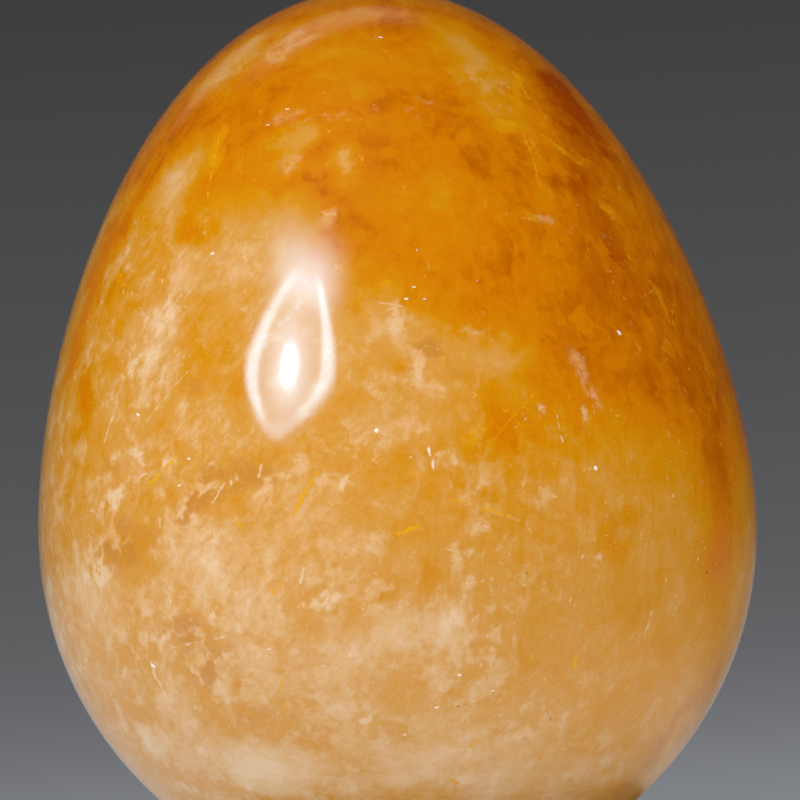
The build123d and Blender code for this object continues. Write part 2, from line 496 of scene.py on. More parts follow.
ZONES = {
    "milky": {
        # Painted reflection: these four patches paint the crown's pale reflection band into the stone's
        # colour
        "crown_right_painted_reflection": Patch(490, 82, 60, 34, -62, 0.25),
        "crown_band_left_painted_reflection": Patch(240, 58, 76, 20, 36, 0.32),
        "crown_band_top_painted_reflection": Patch(345, 16, 70, 10, 8, 0.16),
        "crown_sail_top_painted_reflection": Patch(456, 46, 54, 34, -42, 0.28),
        "crown_field": Patch(330, 72, 120, 56, 0, 0.08),
        "foot_field": Patch(330, 776, 140, 34, 0, 0.12),
        "right_field": Patch(600, 455, 90, 56, -20, 0.08),
        # Painted highlight: the haze above the key glint, painted into the stone's colour
        "above_glint_painted_highlight": Patch(285, 222, 56, 38, 10, 0.18),
        "crown_front": Patch(300, 138, 44, 17, 10, 0.30),
        "crown_front_low": Patch(291, 164, 32, 22, 20, 0.30),
        "crown_front_right": Patch(343, 166, 36, 23, 80, 0.24),
        "left_shoulder": Patch(180, 178, 60, 28, 62, 0.40),
        "left_field": Patch(225, 255, 95, 70, 20, 0.27),
        "left_middle": Patch(190, 430, 110, 60, 0, 0.10),
        "left_cloud": Patch(150, 340, 62, 38, 60, 0.24),
        "middle_cloud": Patch(468, 345, 84, 36, 5, 0.15),
        "middle_cloud_right": Patch(500, 362, 54, 32, 8, 0.20),
        "centre": Patch(400, 405, 90, 50, 0, 0.18),
        "below_glint": Patch(310, 525, 96, 66, 0, 0.22),
        "middle_left": Patch(380, 330, 60, 40, 0, 0.19),
        "lower_left_cloud": Patch(215, 566, 76, 60, -30, 0.26),
        "lower_cloud": Patch(447, 626, 32, 30, 0, 0.32),
        "lower_cloud_left": Patch(402, 632, 30, 20, 0, 0.20),
        "foot_cloud": Patch(264, 768, 60, 34, 0, 0.42),
        "foot_cloud_left": Patch(151, 741, 26, 20, -30, 0.36),
        "left_rim_low": Patch(92, 600, 60, 30, -70, 0.24),
        "low": Patch(310, 660, 130, 80, 0, 0.14),
        "foot_right": Patch(470, 760, 110, 50, 0, 0.20),
        "foot_right_low": Patch(540, 784, 84, 30, 4, 0.22),
        "foot_left": Patch(190, 742, 60, 36, -30, 0.22),
        "amber_gold": Patch(425, 225, 100, 60, 10, 0.10),
        "shoulder_gold": Patch(247, 178, 50, 40, 0, 0.10),
    },
    "clear": {
        "shoulder_left": Patch(192, 231, 28, 18, -10, 0.28),
        "left_gold": Patch(118, 284, 22, 13, 75, 0.26),
        "left_gold_low": Patch(134, 309, 16, 12, 0, 0.26),
        # Painted reflection: a darker band along the left limb, for the dark room it reflects
        "left_rim_amber_painted_reflection": Patch(82, 400, 50, 14, 86, 0.34),
        "middle_dark_left": Patch(402, 364, 15, 11, 0, 0.28),
        "middle_band": Patch(498, 432, 66, 32, 18, 0.17),
        "right_amber": Patch(626, 516, 22, 16, 0, 0.20),
        "right_amber_low": Patch(616, 541, 24, 18, -60, 0.18),
        # Painted shade: a darker band along the right limb
        "right_rim_band_painted_shade": Patch(720, 545, 70, 18, 87, 0.10),
        "low_middle": Patch(426, 583, 20, 14, 80, 0.22),
        "low_middle_left": Patch(386, 600, 14, 10, 0, 0.18),
        # Painted shade: a darker band along the right limb
        "right_waist_painted_shade": Patch(690, 400, 90, 40, -70, 0.10),
        # Painted reflection: these four patches paint a darker band along the left limb, for the dark room it
        # reflects
        "left_limb_painted_reflection": Patch(140, 180, 46, 22, 62, 0.16),
        "left_limb_low_painted_reflection": Patch(112, 237, 44, 17, 67, 0.34),
        "left_limb_waist_painted_reflection": Patch(94, 285, 44, 14, 70, 0.36),
        "left_limb_foot_painted_reflection": Patch(74, 355, 60, 11, 76, 0.32),
        "right_deep": Patch(583, 180, 36, 20, -35, 0.13),
        "right_deep_left": Patch(556, 188, 20, 12, -60, 0.16),
        # Painted shade: these five patches paint darker bands along the right limb, where the light falls off
        "right_rim_top_painted_shade": Patch(588, 130, 90, 24, -52, 0.18),
        "right_rim_high_painted_shade": Patch(550, 80, 54, 22, -42, 0.20),
        "right_rim_middle_painted_shade": Patch(676, 290, 96, 22, -64, 0.10),
        "right_rim_waist_painted_shade": Patch(722, 470, 100, 24, -84, 0.12),
        "right_rim_foot_painted_shade": Patch(722, 530, 90, 34, 88, 0.20),
        "right_middle": Patch(640, 420, 120, 60, -30, 0.04),
        "right_upper": Patch(562, 356, 50, 34, -20, 0.08),
        "crack_right": Patch(561, 128, 44, 18, -58, 0.03),
        "middle_right": Patch(570, 430, 110, 60, -20, 0.12),
        "amber_right": Patch(616, 262, 104, 56, -60, 0.12),
        "middle": Patch(450, 470, 90, 50, 0, 0.05),
    },
    "tea": {
        "left_window": Patch(124, 545, 44, 40, 0, 1.0),
        "left_window_top": Patch(112, 470, 26, 18, 30, 0.55),
        "middle_window": Patch(241, 477, 54, 22, -4, 0.95),
        "slanting_window": Patch(192, 505, 40, 20, 40, 0.85),
        "lower_window": Patch(208, 664, 46, 38, -10, 0.85),
        "lower_triangle": Patch(184, 628, 40, 20, 8, 0.75),
        "lower_spot": Patch(133, 601, 16, 12, 0, 0.7),
        "left_spot": Patch(189, 387, 22, 16, -50, 0.7),
        "foot_window": Patch(250, 715, 46, 20, 20, 0.5),
        "middle_small": Patch(455, 377, 20, 12, 0, 0.6),
        "middle_dark": Patch(422, 352, 24, 18, 15, 0.8),
        "right_small": Patch(620, 525, 30, 18, -50, 0.5),
        # Painted reflection: this and the next patch paint a brown band along the lower right limb
        "low_right_limb_painted_reflection": Patch(692, 712, 86, 20, 60, 0.85),
        "low_right_band_painted_reflection": Patch(640, 770, 60, 16, 48, 0.60),
    },
    "veil": {
        "round_veil": Patch(393, 314, 19, 22, 10, 1.0),
        "left_flakes": Patch(97, 574, 30, 19, 25, 1.1),
        "right_blade": Patch(586, 379, 40, 9, -61, 1.0),
        "right_blade_low": Patch(582, 412, 16, 6, -60, 0.8),
        "left_triangle_top": Patch(163, 316, 27, 15, 55, 0.85),
        "left_triangle": Patch(140, 358, 34, 22, 40, 0.75),
        "left_fork": Patch(137, 453, 20, 6, -48, 0.9),
        "left_band": Patch(115, 496, 36, 8, 36, 0.7),
        "left_band_top": Patch(163, 463, 34, 7, 30, 0.7),
        "upper_flake": Patch(324, 223, 22, 16, -20, 0.8),
        "right_white": Patch(607, 243, 7, 14, 12, 0.9),
        "crescent": Patch(545, 217, 16, 7, -12, 0.9),
        "cloud_tooth": Patch(216, 614, 15, 11, 80, 0.9),
        "low_blob": Patch(323, 597, 18, 17, 0, 1.0),
        "low_blob_right": Patch(397, 588, 13, 12, 0, 0.8),
        "low_blob_foot": Patch(394, 667, 11, 10, 0, 0.7),
        "low_chip": Patch(308, 679, 14, 10, 60, 0.8),
        "low_chip_foot": Patch(310, 705, 15, 13, 0, 0.8),
        "low_chip_right": Patch(362, 713, 10, 8, 0, 0.6),
        "under_glint": Patch(343, 485, 18, 8, 80, 0.7),
        "wisps": Patch(372, 390, 34, 8, -4, 0.7),
        "triangle_left": Patch(165, 634, 40, 15, 12, 0.6),
        "right_fleck": Patch(604, 519, 13, 8, 70, 0.7),
        "right_fleck_low": Patch(597, 557, 12, 7, 70, 0.7),
        "crown_flake": Patch(500, 88, 22, 12, 60, 0.45),
        "crown_flake_low": Patch(500, 112, 18, 10, 20, 0.45),
        "shoulder_flake": Patch(190, 158, 26, 12, 60, 0.6),
        "shoulder_cloud": Patch(234, 241, 28, 18, -20, 0.5),
        "lower_left_veil": Patch(212, 546, 40, 24, -10, 0.6),
        "lower_left_veil_low": Patch(232, 588, 34, 20, -50, 0.6),
        "foot_veil": Patch(262, 768, 34, 22, 0, 0.6),
        "foot_arc": Patch(203, 750, 24, 8, -40, 0.6),
        "foot_left_veil": Patch(151, 741, 18, 15, -30, 0.8),
        "centre_veil": Patch(468, 332, 52, 10, 3, 0.6),
        "right_field_veil": Patch(590, 436, 34, 20, -30, 0.25),
        "low_cloud_veil": Patch(448, 626, 20, 18, 0, 0.6),
        # Painted reflection: these four patches paint the crown's pale reflection band into the stone's
        # colour
        "crown_sail_painted_reflection": Patch(480, 80, 52, 34, -60, 0.42),
        "crown_torn_painted_reflection": Patch(284, 44, 44, 18, 26, 0.75),
        "crown_torn_left_painted_reflection": Patch(228, 70, 46, 16, 38, 0.6),
        "crown_torn_top_painted_reflection": Patch(375, 12, 50, 7, 4, 0.5),
        "crown_mottle": Patch(285, 117, 26, 13, 12, 0.7),
        "crown_line": Patch(330, 117, 56, 6, 15, 0.5),
        "beige_flake": Patch(291, 164, 23, 17, 25, 1.0),
        "beige_flake_right": Patch(346, 162, 24, 14, 78, 0.6),
        "crown_smear": Patch(428, 101, 18, 5, 10, 0.9),
        "crown_smear_left": Patch(375, 108, 9, 6, 10, 0.9),
        "crown_smear_low": Patch(413, 113, 9, 6, 0, 0.8),
        "crown_smear_top": Patch(430, 87, 6, 5, 20, 0.8),
        "right_smear": Patch(541, 404, 10, 6, -40, 0.8),
    },
    "golden": {
        "shoulder": Patch(215, 153, 28, 9, 80, 1.1),
        "crack_top": Patch(528, 113, 13, 6, -50, 0.9),
        "crack_middle": Patch(536, 150, 20, 5, -75, 0.8),
        "crack_foot": Patch(549, 192, 20, 5, -62, 0.7),
        "ray": Patch(567, 152, 30, 5, -28, 0.8),
        "fan": Patch(606, 207, 24, 6, -40, 0.7),
        "curve": Patch(662, 300, 28, 5, -52, 0.9),
        "facet": Patch(520, 103, 17, 11, 0, 0.9),
        "facet_left": Patch(508, 128, 16, 9, -10, 1.0),
        "facet_top": Patch(520, 84, 18, 7, -68, 0.9),
        "facet_right": Patch(543, 121, 12, 7, 80, 0.7),
        "crescent": Patch(535, 216, 18, 7, -10, 0.7),
        # Painted reflection: the light orange stripe along the lower right limb
        "low_right_stripe_painted_reflection": Patch(676, 735, 50, 7, 57, 0.8),
        "middle_smear": Patch(480, 430, 40, 12, 30, 0.5),
        "middle_smear_left": Patch(420, 476, 22, 10, 10, 0.6),
        "left_smear": Patch(118, 284, 14, 8, 80, 0.8),
        "amber_left": Patch(380, 281, 24, 9, 25, 0.5),
        "low_blotch": Patch(262, 580, 14, 6, -40, 1.0),
        "low_blotch_right": Patch(281, 586, 11, 7, 60, 1.0),
    },
}

# Thin light lines, yellow streaks, golden cracks and specks: each runs from a pixel to a pixel, with its
# half width in pixels and its strength
Stroke = namedtuple("Stroke", "x0 y0 x1 y1 half_width strength")

LIGHT_LINES = {
    "left_edge": Stroke(112, 418, 104, 443, 2.5, 0.9),
    "left_dot": Stroke(107, 401, 107, 407, 2.5, 0.8),
    "triangle_line": Stroke(172, 647, 224, 636, 2.5, 0.8),
    "chain": Stroke(151, 662, 156, 678, 5.0, 1.2),
    "chain_low": Stroke(158, 680, 168, 700, 3.5, 0.9),
    "right_thread": Stroke(556, 411, 562, 441, 1.8, 0.7),
    "arc": Stroke(508, 517, 527, 523, 2.2, 0.8),
    "arc_low": Stroke(527, 523, 533, 544, 2.2, 0.8),
    "level_thread": Stroke(466, 584, 527, 573, 1.8, 0.6),
    "right_low": Stroke(652, 611, 644, 637, 2.4, 0.8),
    "crown_thread": Stroke(291, 126, 326, 113, 2.6, 0.55),
    "upper_arc": Stroke(242, 251, 249, 268, 1.8, 0.7),
    "dash": Stroke(304, 568, 301, 583, 2.6, 1.0),
    "middle_dash": Stroke(429, 447, 434, 470, 3.2, 1.0),
    "left_nick": Stroke(231, 470, 231, 484, 2.4, 0.9),
    "left_nick_right": Stroke(261, 465, 259, 476, 2.4, 0.9),
    "left_nick_low": Stroke(160, 518, 160, 527, 2.4, 0.8),
    "flake_edge": Stroke(312, 210, 338, 216, 2.0, 0.8),
    "veil_edge": Stroke(380, 302, 402, 306, 2.0, 0.8),
    "triangle_edge": Stroke(116, 370, 150, 331, 2.0, 0.7),
    "triangle_edge_top": Stroke(150, 331, 186, 306, 2.0, 0.7),
    "diagonal": Stroke(146, 422, 170, 391, 1.9, 0.65),
    "diagonal_top": Stroke(170, 391, 196, 363, 1.9, 0.65),
    "fracture": Stroke(197, 530, 224, 484, 1.9, 0.7),
    "fracture_left": Stroke(91, 511, 146, 473, 2.2, 0.75),
}

YELLOW_STREAKS = {
    "shoulder": Stroke(219, 136, 211, 178, 5.0, 0.75),
    "shoulder_tail": Stroke(211, 178, 207, 200, 3.2, 0.8),
    "under_glint": Stroke(317, 472, 305, 492, 4.6, 0.85),
    "under_glint_low": Stroke(305, 492, 292, 516, 4.2, 0.8),
    "left_spot": Stroke(237, 522, 241, 527, 4.5, 0.9),
    "small_spot": Stroke(265, 509, 267, 513, 3.0, 0.8),
    "low_patch": Stroke(268, 586, 275, 594, 3.6, 0.8),
    "foot_spot": Stroke(282, 680, 281, 692, 3.2, 0.9),
    "foot_spot_low": Stroke(285, 704, 285, 710, 3.0, 0.8),
    "foot_tick": Stroke(470, 747, 478, 739, 3.0, 0.9),
    "foot_tick_right": Stroke(485, 740, 489, 737, 3.0, 0.9),
    "foot_edge": Stroke(452, 780, 458, 783, 5.0, 1.0),
    "foot_dot": Stroke(468, 764, 470, 767, 2.6, 0.8),
    "foot_left": Stroke(369, 724, 374, 723, 2.6, 0.8),
    "right_spot": Stroke(531, 654, 531, 660, 4.0, 1.0),
    "right_spot_tall": Stroke(575, 655, 575, 668, 4.0, 1.0),
    "right_thread": Stroke(563, 621, 570, 635, 2.2, 0.7),
    "middle_spot": Stroke(398, 533, 418, 527, 4.8, 0.75),
    "middle_thread": Stroke(452, 499, 483, 508, 3.6, 0.8),
    "middle_thread_right": Stroke(483, 508, 512, 516, 3.4, 0.8),
    "left_thread": Stroke(150, 484, 176, 458, 3.4, 0.8),
    "left_foot": Stroke(206, 702, 210, 707, 2.6, 0.7),
    "right_gold": Stroke(672, 311, 673, 324, 2.6, 0.8),
    "right_gold_thread": Stroke(646, 278, 674, 306, 1.8, 0.7),
    "right_gold_spot": Stroke(628, 256, 632, 261, 2.4, 0.7),
}

GOLDEN_CRACKS = {
    "facet_edge": Stroke(514, 72, 528, 98, 3.0, 1.0),
    "crack": Stroke(521, 128, 533, 158, 2.4, 0.9),
    "crack_middle": Stroke(533, 158, 537, 176, 2.4, 0.9),
    "crack_low": Stroke(546, 180, 554, 202, 2.2, 0.9),
    "ray": Stroke(540, 134, 565, 152, 2.2, 0.9),
    "ray_low": Stroke(565, 152, 594, 164, 2.2, 0.8),
    "needle": Stroke(587, 240, 588, 251, 1.8, 0.9),
    "fork": Stroke(601, 207, 613, 214, 2.0, 0.7),
    "spray": Stroke(486, 201, 483, 212, 1.8, 0.7),
    "feather": Stroke(488, 446, 516, 413, 1.8, 0.95),
    "feather_top": Stroke(516, 413, 545, 383, 1.8, 0.9),
    "feather_rung": Stroke(491, 421, 512, 439, 1.5, 0.9),
    "feather_rung_middle": Stroke(502, 408, 524, 428, 1.5, 0.9),
    "feather_rung_top": Stroke(513, 397, 535, 416, 1.5, 0.9),
}

DARK_SPECKS = {
    "foot": Stroke(551, 718, 551, 719, 2.2, 1.0),
    "foot_left": Stroke(458, 706, 459, 707, 2.4, 1.0),
    "low_right": Stroke(600, 674, 600.5, 674, 2.0, 0.9),
    "right": Stroke(706, 572, 708, 573, 2.2, 0.9),
    "right_low": Stroke(671, 637, 671, 637.5, 1.8, 0.9),
    "middle": Stroke(526, 573, 527, 574, 2.4, 0.8),
    "left": Stroke(244, 566, 244, 570, 1.8, 0.8),
    "left_low": Stroke(104, 662, 105, 663, 2.0, 0.8),
    "centre": Stroke(461, 315, 462, 316, 2.0, 0.8),
    "cloud": Stroke(513, 350, 513.5, 351, 2.0, 0.8),
}

# Painted glints: sparkling dots painted in the glint colour, each a pixel with its half width and strength
PAINTED_GLINTS = {
    "round_dot": Stroke(377, 430, 377, 430.5, 3.2, 1.4),
    "right_dot": Stroke(619, 332, 620, 334, 3.4, 1.2),
    "right_dot_low": Stroke(595, 468, 596, 469, 3.0, 1.3),
    "middle_left": Stroke(405, 299, 407, 299, 2.6, 1.0),
    "middle_right": Stroke(424, 299, 426, 299, 2.4, 0.9),
    "middle_top": Stroke(413, 287, 415, 287, 2.0, 0.8),
    "amber_dot": Stroke(417, 249, 417, 249.5, 2.2, 0.9),
    "amber_dot_left": Stroke(394, 256, 394, 256.5, 2.0, 0.8),
    "amber_dot_right": Stroke(477, 281, 478, 281, 2.2, 0.8),
    "cluster": Stroke(429, 450, 430, 456, 2.8, 1.0),
    "cluster_low": Stroke(432, 458, 434, 468, 2.4, 0.9),
    "cluster_left": Stroke(410, 457, 411, 457, 2.4, 0.9),
    "crown_dot": Stroke(380, 37, 382, 37, 2.4, 0.9),
    "crown_left": Stroke(286, 109, 288, 109, 2.4, 0.8),
    "crown_left_low": Stroke(267, 125, 269, 125, 2.4, 0.9),
    "crown_right_painted_reflection": Stroke(373, 105, 375, 105, 2.2, 0.8),
    "chain_dot": Stroke(152, 665, 154, 667, 4.2, 1.3),
    "left_dot": Stroke(211, 253, 213, 254, 2.6, 0.9),
    "left_fleck": Stroke(137, 414, 139, 416, 3.0, 1.0),
    "foot_dot": Stroke(459, 675, 461, 675, 2.6, 0.9),
    "foot_dot_right": Stroke(492, 691, 494, 691, 2.4, 0.9),
    "foot_dash": Stroke(402, 736, 407, 734, 2.4, 0.9),
    "foot_dot_left": Stroke(436, 707, 438, 707, 2.4, 0.9),
    "low_left": Stroke(242, 680, 244, 680, 2.6, 0.9),
    "low_left_top": Stroke(267, 649, 269, 649, 2.6, 0.9),
    "left_low_dot": Stroke(178, 485, 180, 485, 2.6, 0.9),
    "left_low_dot_top": Stroke(188, 459, 190, 459, 2.6, 0.9),
}


def wandering(places):
    """Places pushed about by noise, so that what is marked there has an uneven outline."""
    noise.seed_set(WANDER_SEED)
    moved = places.copy()
    for size, amount in WANDER:
        moved += amount * np.array([noise.noise_vector(Vector(place) / size) for place in places])
    return moved


# Sizes of the noise and how far it pushes
WANDER = ((3.0 * MM, 0.9 * MM), (1.1 * MM, 0.45 * MM))
WANDER_SEED = 1


def stamp(egg, view):
    """Marks each vertex of the egg with how deep it lies in the patches of each zone, 0 outside them."""
    mesh = egg.data
    places = np.empty(len(mesh.vertices) * 3, dtype=np.float32)
    mesh.vertices.foreach_get("co", places)
    places = wandering(places.reshape(-1, 3))
    for zone, patches in ZONES.items():
        depth = np.zeros(len(places))
        for patch in patches.values():
            middle, axes, reach = view.patch(*patch[:5])
            inside = (places - np.array(middle)) @ np.array(axes).T / np.array(reach)
            depth += patch.strength * np.clip(1 - np.linalg.norm(inside, axis=1), 0, 1)
        mesh.attributes.new(zone, "FLOAT", "POINT").data.foreach_set("value", depth.astype(np.float32))


def strokes_in(place, view, strokes):
    """How near a place is to the middle of any of these strokes, from 0 up to 1."""
    nearest = None
    for stroke in strokes.values():
        start = view.spot(stroke.x0, stroke.y0)[0]
        run = view.spot(stroke.x1, stroke.y1)[0] - start
        beyond = place.vector("SUBTRACT", start)
        along = beyond.vector("DOT_PRODUCT", run / run.length_squared, out="Value")
        passed = place.node("ShaderNodeClamp", None, {"Value": along})
        away = beyond.vector("DISTANCE", scaled(run, passed, place), out="Value")
        fall = -stroke.strength / (stroke.half_width * PIXEL)
        depth = place.math("MULTIPLY_ADD", away, fall, stroke.strength)
        nearest = depth if nearest is None else depth.most(nearest)
    return nearest.most(0.0).least(1.0)


PIXEL = FRAME_WIDTH / PHOTO_SIDE
# The colour boundary through the stone: amber above this slanting plane, and milkier the deeper below it
ZONING_NORMAL = (0.48, 0.10, 0.87)
ZONING_LEVEL = 50.5 * MM
# Directions that veils run in, as turns of the first axis
LEFT_VEILS = (0.2, radians(-42), 0.1)
RIGHT_VEILS = (0.1, radians(-80), 0.3)
CROSS_VEILS = (0.3, radians(25), 0.2)
AMBER_VEILS = (0.2, radians(62), 0.1)


def zone_depth(place, name):
    """How deep a place lies in the patches of a zone."""
    return place.node("ShaderNodeAttribute", {"attribute_name": name}, None, "Fac")


def facets(place, size):
    """Cells that are each shaded across their own way, as broken stone is, from about -1 to 1."""
    tilt, middle = place.cells(size, "Color", "Position")
    tilt = tilt.vector("SUBTRACT", (0.5, 0.5, 0.5))
    return place.vector("SUBTRACT", middle).vector("DOT_PRODUCT", tilt, out="Value") / (0.35 * size)


def veils(place, size, turn, stretch):
    """Healed cracks drawn out along one direction, each fading away from one crisp edge: 0 to 1."""
    level = place.along(turn, stretch).noise(size, 3.0, 0.55)
    return level.rise(0.47, 0.52) * (1 - level.rise(0.52, 0.66))


def flecks(place, size, share_kept, turn, stretch):
    """Small crisp flecks drawn out along one direction, one in some of the cells of this size: 0 to 1."""
    distance, chance = place.along(turn, stretch).cells(size, "Distance", "Color")
    kept = chance.node("ShaderNodeSeparateColor", None, {"Color": chance}, "Red").rise(1 - share_kept, 1.0)
    return (1 - distance.rise(0.10, 0.24)) * kept


def quartz_material(look, view):
    """Golden quartz: clear stained stone, cloudier in zones, with veils, streaks, flecks and specks; with
    painted glints, painted shade and painted reflections along its limbs and round its crown, and a painted
    highlight above the key glint.
    """

    def inputs_of(place):
        bent = place.shifted(6 * MM, 1.6 * MM, 2.0)
        ragged = bent.shifted(1.3 * MM, 0.40 * MM)
        rough = place.shifted(0.6 * MM, 0.20 * MM, 3.0)

        # Zoning
        depth = ZONING_LEVEL - bent.vector("DOT_PRODUCT", ZONING_NORMAL, out="Value")
        backward = place.part("Y").rise(-2 * MM, 12 * MM)
        sideways = place.part("X")
        leftward = 1 - sideways.rise(-8 * MM, 6 * MM)
        rightward = sideways.rise(6 * MM, 18 * MM) * (1 - backward)
        depth = depth + (bent.noise(11 * MM, 2, 0.5) - 0.5) * backward * (22 * MM)
        pale = depth.rise(-4 * MM, 6 * MM)
        billows = bent.noise(5 * MM, 2, 0.5) - 0.5
        curds = ragged.noise(1.8 * MM, 2.5, 0.5) - 0.5
        crumbs = rough.noise(0.45 * MM, 4, 0.7) - 0.5
        grain = place.noise(0.12 * MM, 2, 0.7) - 0.5
        base = 0.17 + 0.25 * pale + 0.15 * depth.rise(8 * MM, 34 * MM)
        # The milky zone also paints the crown's pale reflection band and a highlight above the key glint
        milky = zone_depth(place, "milky") * (1 + 0.9 * billows + 0.8 * curds)
        # The clear zone darkens the stone: its clear windows, and painted shade and painted reflection along
        # the limbs
        clear = zone_depth(place, "clear") * (1 + 0.7 * curds)
        milk = base + milky - clear + (0.25 - 0.08 * rightward + 0.45 * backward) * billows
        milk = milk + (0.13 + 0.06 * pale - 0.06 * rightward + 0.10 * backward) * curds
        milk = milk + (0.05 + 0.10 * pale) * crumbs

        # Veils, broken stone and grain
        patchy = bent.noise(5 * MM, 2).rise(0.38, 0.62)
        gaps = rough.noise(1.7 * MM, 2).rise(0.40, 0.60)
        calm = (1 - 2.2 * zone_depth(place, "milky")).most(0.3)
        wide = veils(ragged, 4.5 * MM, LEFT_VEILS, 1.8) * leftward
        wide = wide + veils(ragged, 4.5 * MM, RIGHT_VEILS, 1.8) * (1 - leftward)
        narrow = veils(rough, 1.5 * MM, LEFT_VEILS, 2.4) * leftward
        narrow = narrow + veils(rough, 1.5 * MM, RIGHT_VEILS, 2.4) * (1 - leftward)
        crossing = veils(rough, 0.9 * MM, CROSS_VEILS, 2.4)
        feathers = veils(ragged, 3.4 * MM, AMBER_VEILS, 1.8)
        feathers = feathers + 0.6 * veils(rough, 1.3 * MM, AMBER_VEILS, 2.6) * gaps
        wisps = (wide * gaps + 0.75 * narrow * patchy * gaps + 0.45 * crossing * patchy * gaps) * calm
        wisps = wisps * (1 - 0.6 * rightward)
        broken = facets(ragged, 2.6 * MM) + 0.7 * facets(rough, 1.1 * MM)
        fibres = rough.along(LEFT_VEILS, 6.0).noise(0.5 * MM, 3, 0.6) * leftward
        fibres = fibres + rough.along(RIGHT_VEILS, 6.0).noise(0.5 * MM, 3, 0.6) * (1 - leftward) - 0.5
        milk = milk + wisps * (0.02 + 0.13 * pale + 0.06 * backward)
        milk = milk + (feathers - 0.3) * 0.04 * (1 - pale)
        milk = milk + broken * (0.028 + 0.02 * leftward * pale)
        milk = milk + fibres * (0.06 + (0.12 + 0.09 * leftward) * pale)
        milk = (milk + (0.12 + 0.11 * pale) * grain).most(0.2 * pale)

        stops = [
            (0.0, look.deep), (0.2, look.amber), (0.36, look.gold),
            (0.54, look.honey), (0.74, look.cream), (1.0, look.veil),
        ]
        stone = place.node("ShaderNodeValToRGB", {"stops": stops}, {"Fac": milk}, "Color")

        # Clear windows, golden facets and bright veils with torn edges; through the same zones, painted
        # reflections along the lower right limb and round the crown
        shreds = rough.noise(0.5 * MM, 3, 0.6) - 0.5
        cut = 1 + 2.4 * curds + 1.6 * billows - 1.2 * wisps + 0.25 * broken + 1.4 * fibres
        window = (zone_depth(place, "tea") * cut).rise(0.06, 0.66)
        stone = (window * 0.72).mix(stone, look.tea)
        golden = (zone_depth(place, "golden") * (1 + 3.0 * curds + 1.2 * shreds)).rise(0.12, 0.55)
        stone = (golden * 0.36).mix(stone, look.yellow)
        tear = 0.8 + 2.6 * curds + wisps + 2.0 * shreds + 0.25 * broken + 1.6 * fibres
        veil = (zone_depth(place, "veil") * tear).rise(0.12, 0.84)
        stone = (veil * (0.42 + 0.36 * pale)).mix(stone, pale.mix(look.cream, look.veil))

        # Streaks, flecks, specks and painted glints
        torn = 1.2 * curds + 1.6 * shreds + 0.4 * grain
        cracks = (strokes_in(rough, view, GOLDEN_CRACKS) + torn).rise(0.25, 0.75)
        stone = (cracks * 0.45).mix(stone, look.yellow)
        yellow = (strokes_in(rough, view, YELLOW_STREAKS) + torn).rise(0.34, 0.78)
        stone = (yellow * 0.92).mix(stone, look.yellow)
        light = (strokes_in(rough, view, LIGHT_LINES) + torn).rise(0.30, 0.8)
        rising = flecks(place, 0.36 * MM, 0.14, LEFT_VEILS, 9.0)
        level = flecks(place, 0.30 * MM, 0.12, CROSS_VEILS, 7.0)
        chips = flecks(rough, 0.6 * MM, 0.14, RIGHT_VEILS, 1.8)
        scattered = rising.most(level).most(chips) * (0.15 + 0.85 * patchy)
        lit = (light * (0.50 + 0.25 * pale)).most(scattered * (0.05 + 0.60 * pale))
        stone = lit.mix(stone, pale.mix(look.cream, look.veil))
        dark = strokes_in(rough, view, DARK_SPECKS).rise(0.2, 0.9)
        stone = (dark * 0.65).mix(stone, look.speck)
        # Painted glints: the sparkling dots painted in the glint colour
        painted_glint = (strokes_in(rough, view, PAINTED_GLINTS) * (1 + torn)).rise(0.36, 0.85)
        stone = (painted_glint * 0.85).mix(stone, look.glint)

        upright = place.part("Z")
        rings = place.math("SINE", upright * (2 * pi / POLISH_SPACING))
        polish = place.node("ShaderNodeBump", None, {"Height": rings, "Distance": POLISH_DEPTH}, "Normal")
        worn = WORN_ROUGHNESS * (1 - upright.rise(*WORN_LEVELS))
        return {
            "Base Color": stone,
            "Roughness": look.polish + 0.05 * (curds + 0.5) + worn,
            "IOR": QUARTZ_IOR,
            "Subsurface Weight": look.scatter,
            "Subsurface Radius": QUARTZ_SCATTER,
            "Subsurface Scale": look.depth,
            "Coat Weight": look.haze,
            "Coat Roughness": HAZE_ROUGHNESS,
            "Normal": polish,
        }

    return principled_material("golden_quartz", inputs_of)


QUARTZ_IOR = 1.544
# How far red, green and blue light wander, as shares of the depth
QUARTZ_SCATTER = (1.0, 0.45, 0.12)
HAZE_ROUGHNESS = 0.22
POLISH_SPACING = 0.22 * MM
POLISH_DEPTH = 0.0003 * MM
# The foot is duller where it rubs in the felt, all the way up to the first level and not above the second
WORN_LEVELS = (18 * MM, 26 * MM)
WORN_ROUGHNESS = 0.35


class QuartzEgg(bpy.types.Operator):
    """Build the polished quartz egg"""

    bl_idname = "quartz_egg.egg"
    bl_label = "Quartz egg"

    def execute(self, context):
        shape = context.scene.egg_shape
        view = View(context.scene.egg_stage)
        values = {
            "Waist Radius": shape.waist_radius,
            "Waist Level": shape.waist_level,
            "Height": shape.height,
            "Flank Pull": shape.flank_pull,
            "Crown Pull": shape.crown_pull,
            "Unevenness": shape.unevenness,
            "Divisions": shape.divisions,
        }
        egg = grow("quartz_egg", egg_tree(), values)
        view.surface = surface_of(egg)
        stamp(egg, view)
        egg.data.materials.clear()
        egg.data.materials.append(quartz_material(context.scene.egg_quartz, view))
        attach(egg, "egg")
        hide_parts("egg")
        return {"FINISHED"}


def surface_of(piece):
    """A search tree of a piece's faces."""
    corners = [v.co for v in piece.data.vertices]
    return BVHTree.FromPolygons(corners, [tuple(p.vertices) for p in piece.data.polygons])


# Stand


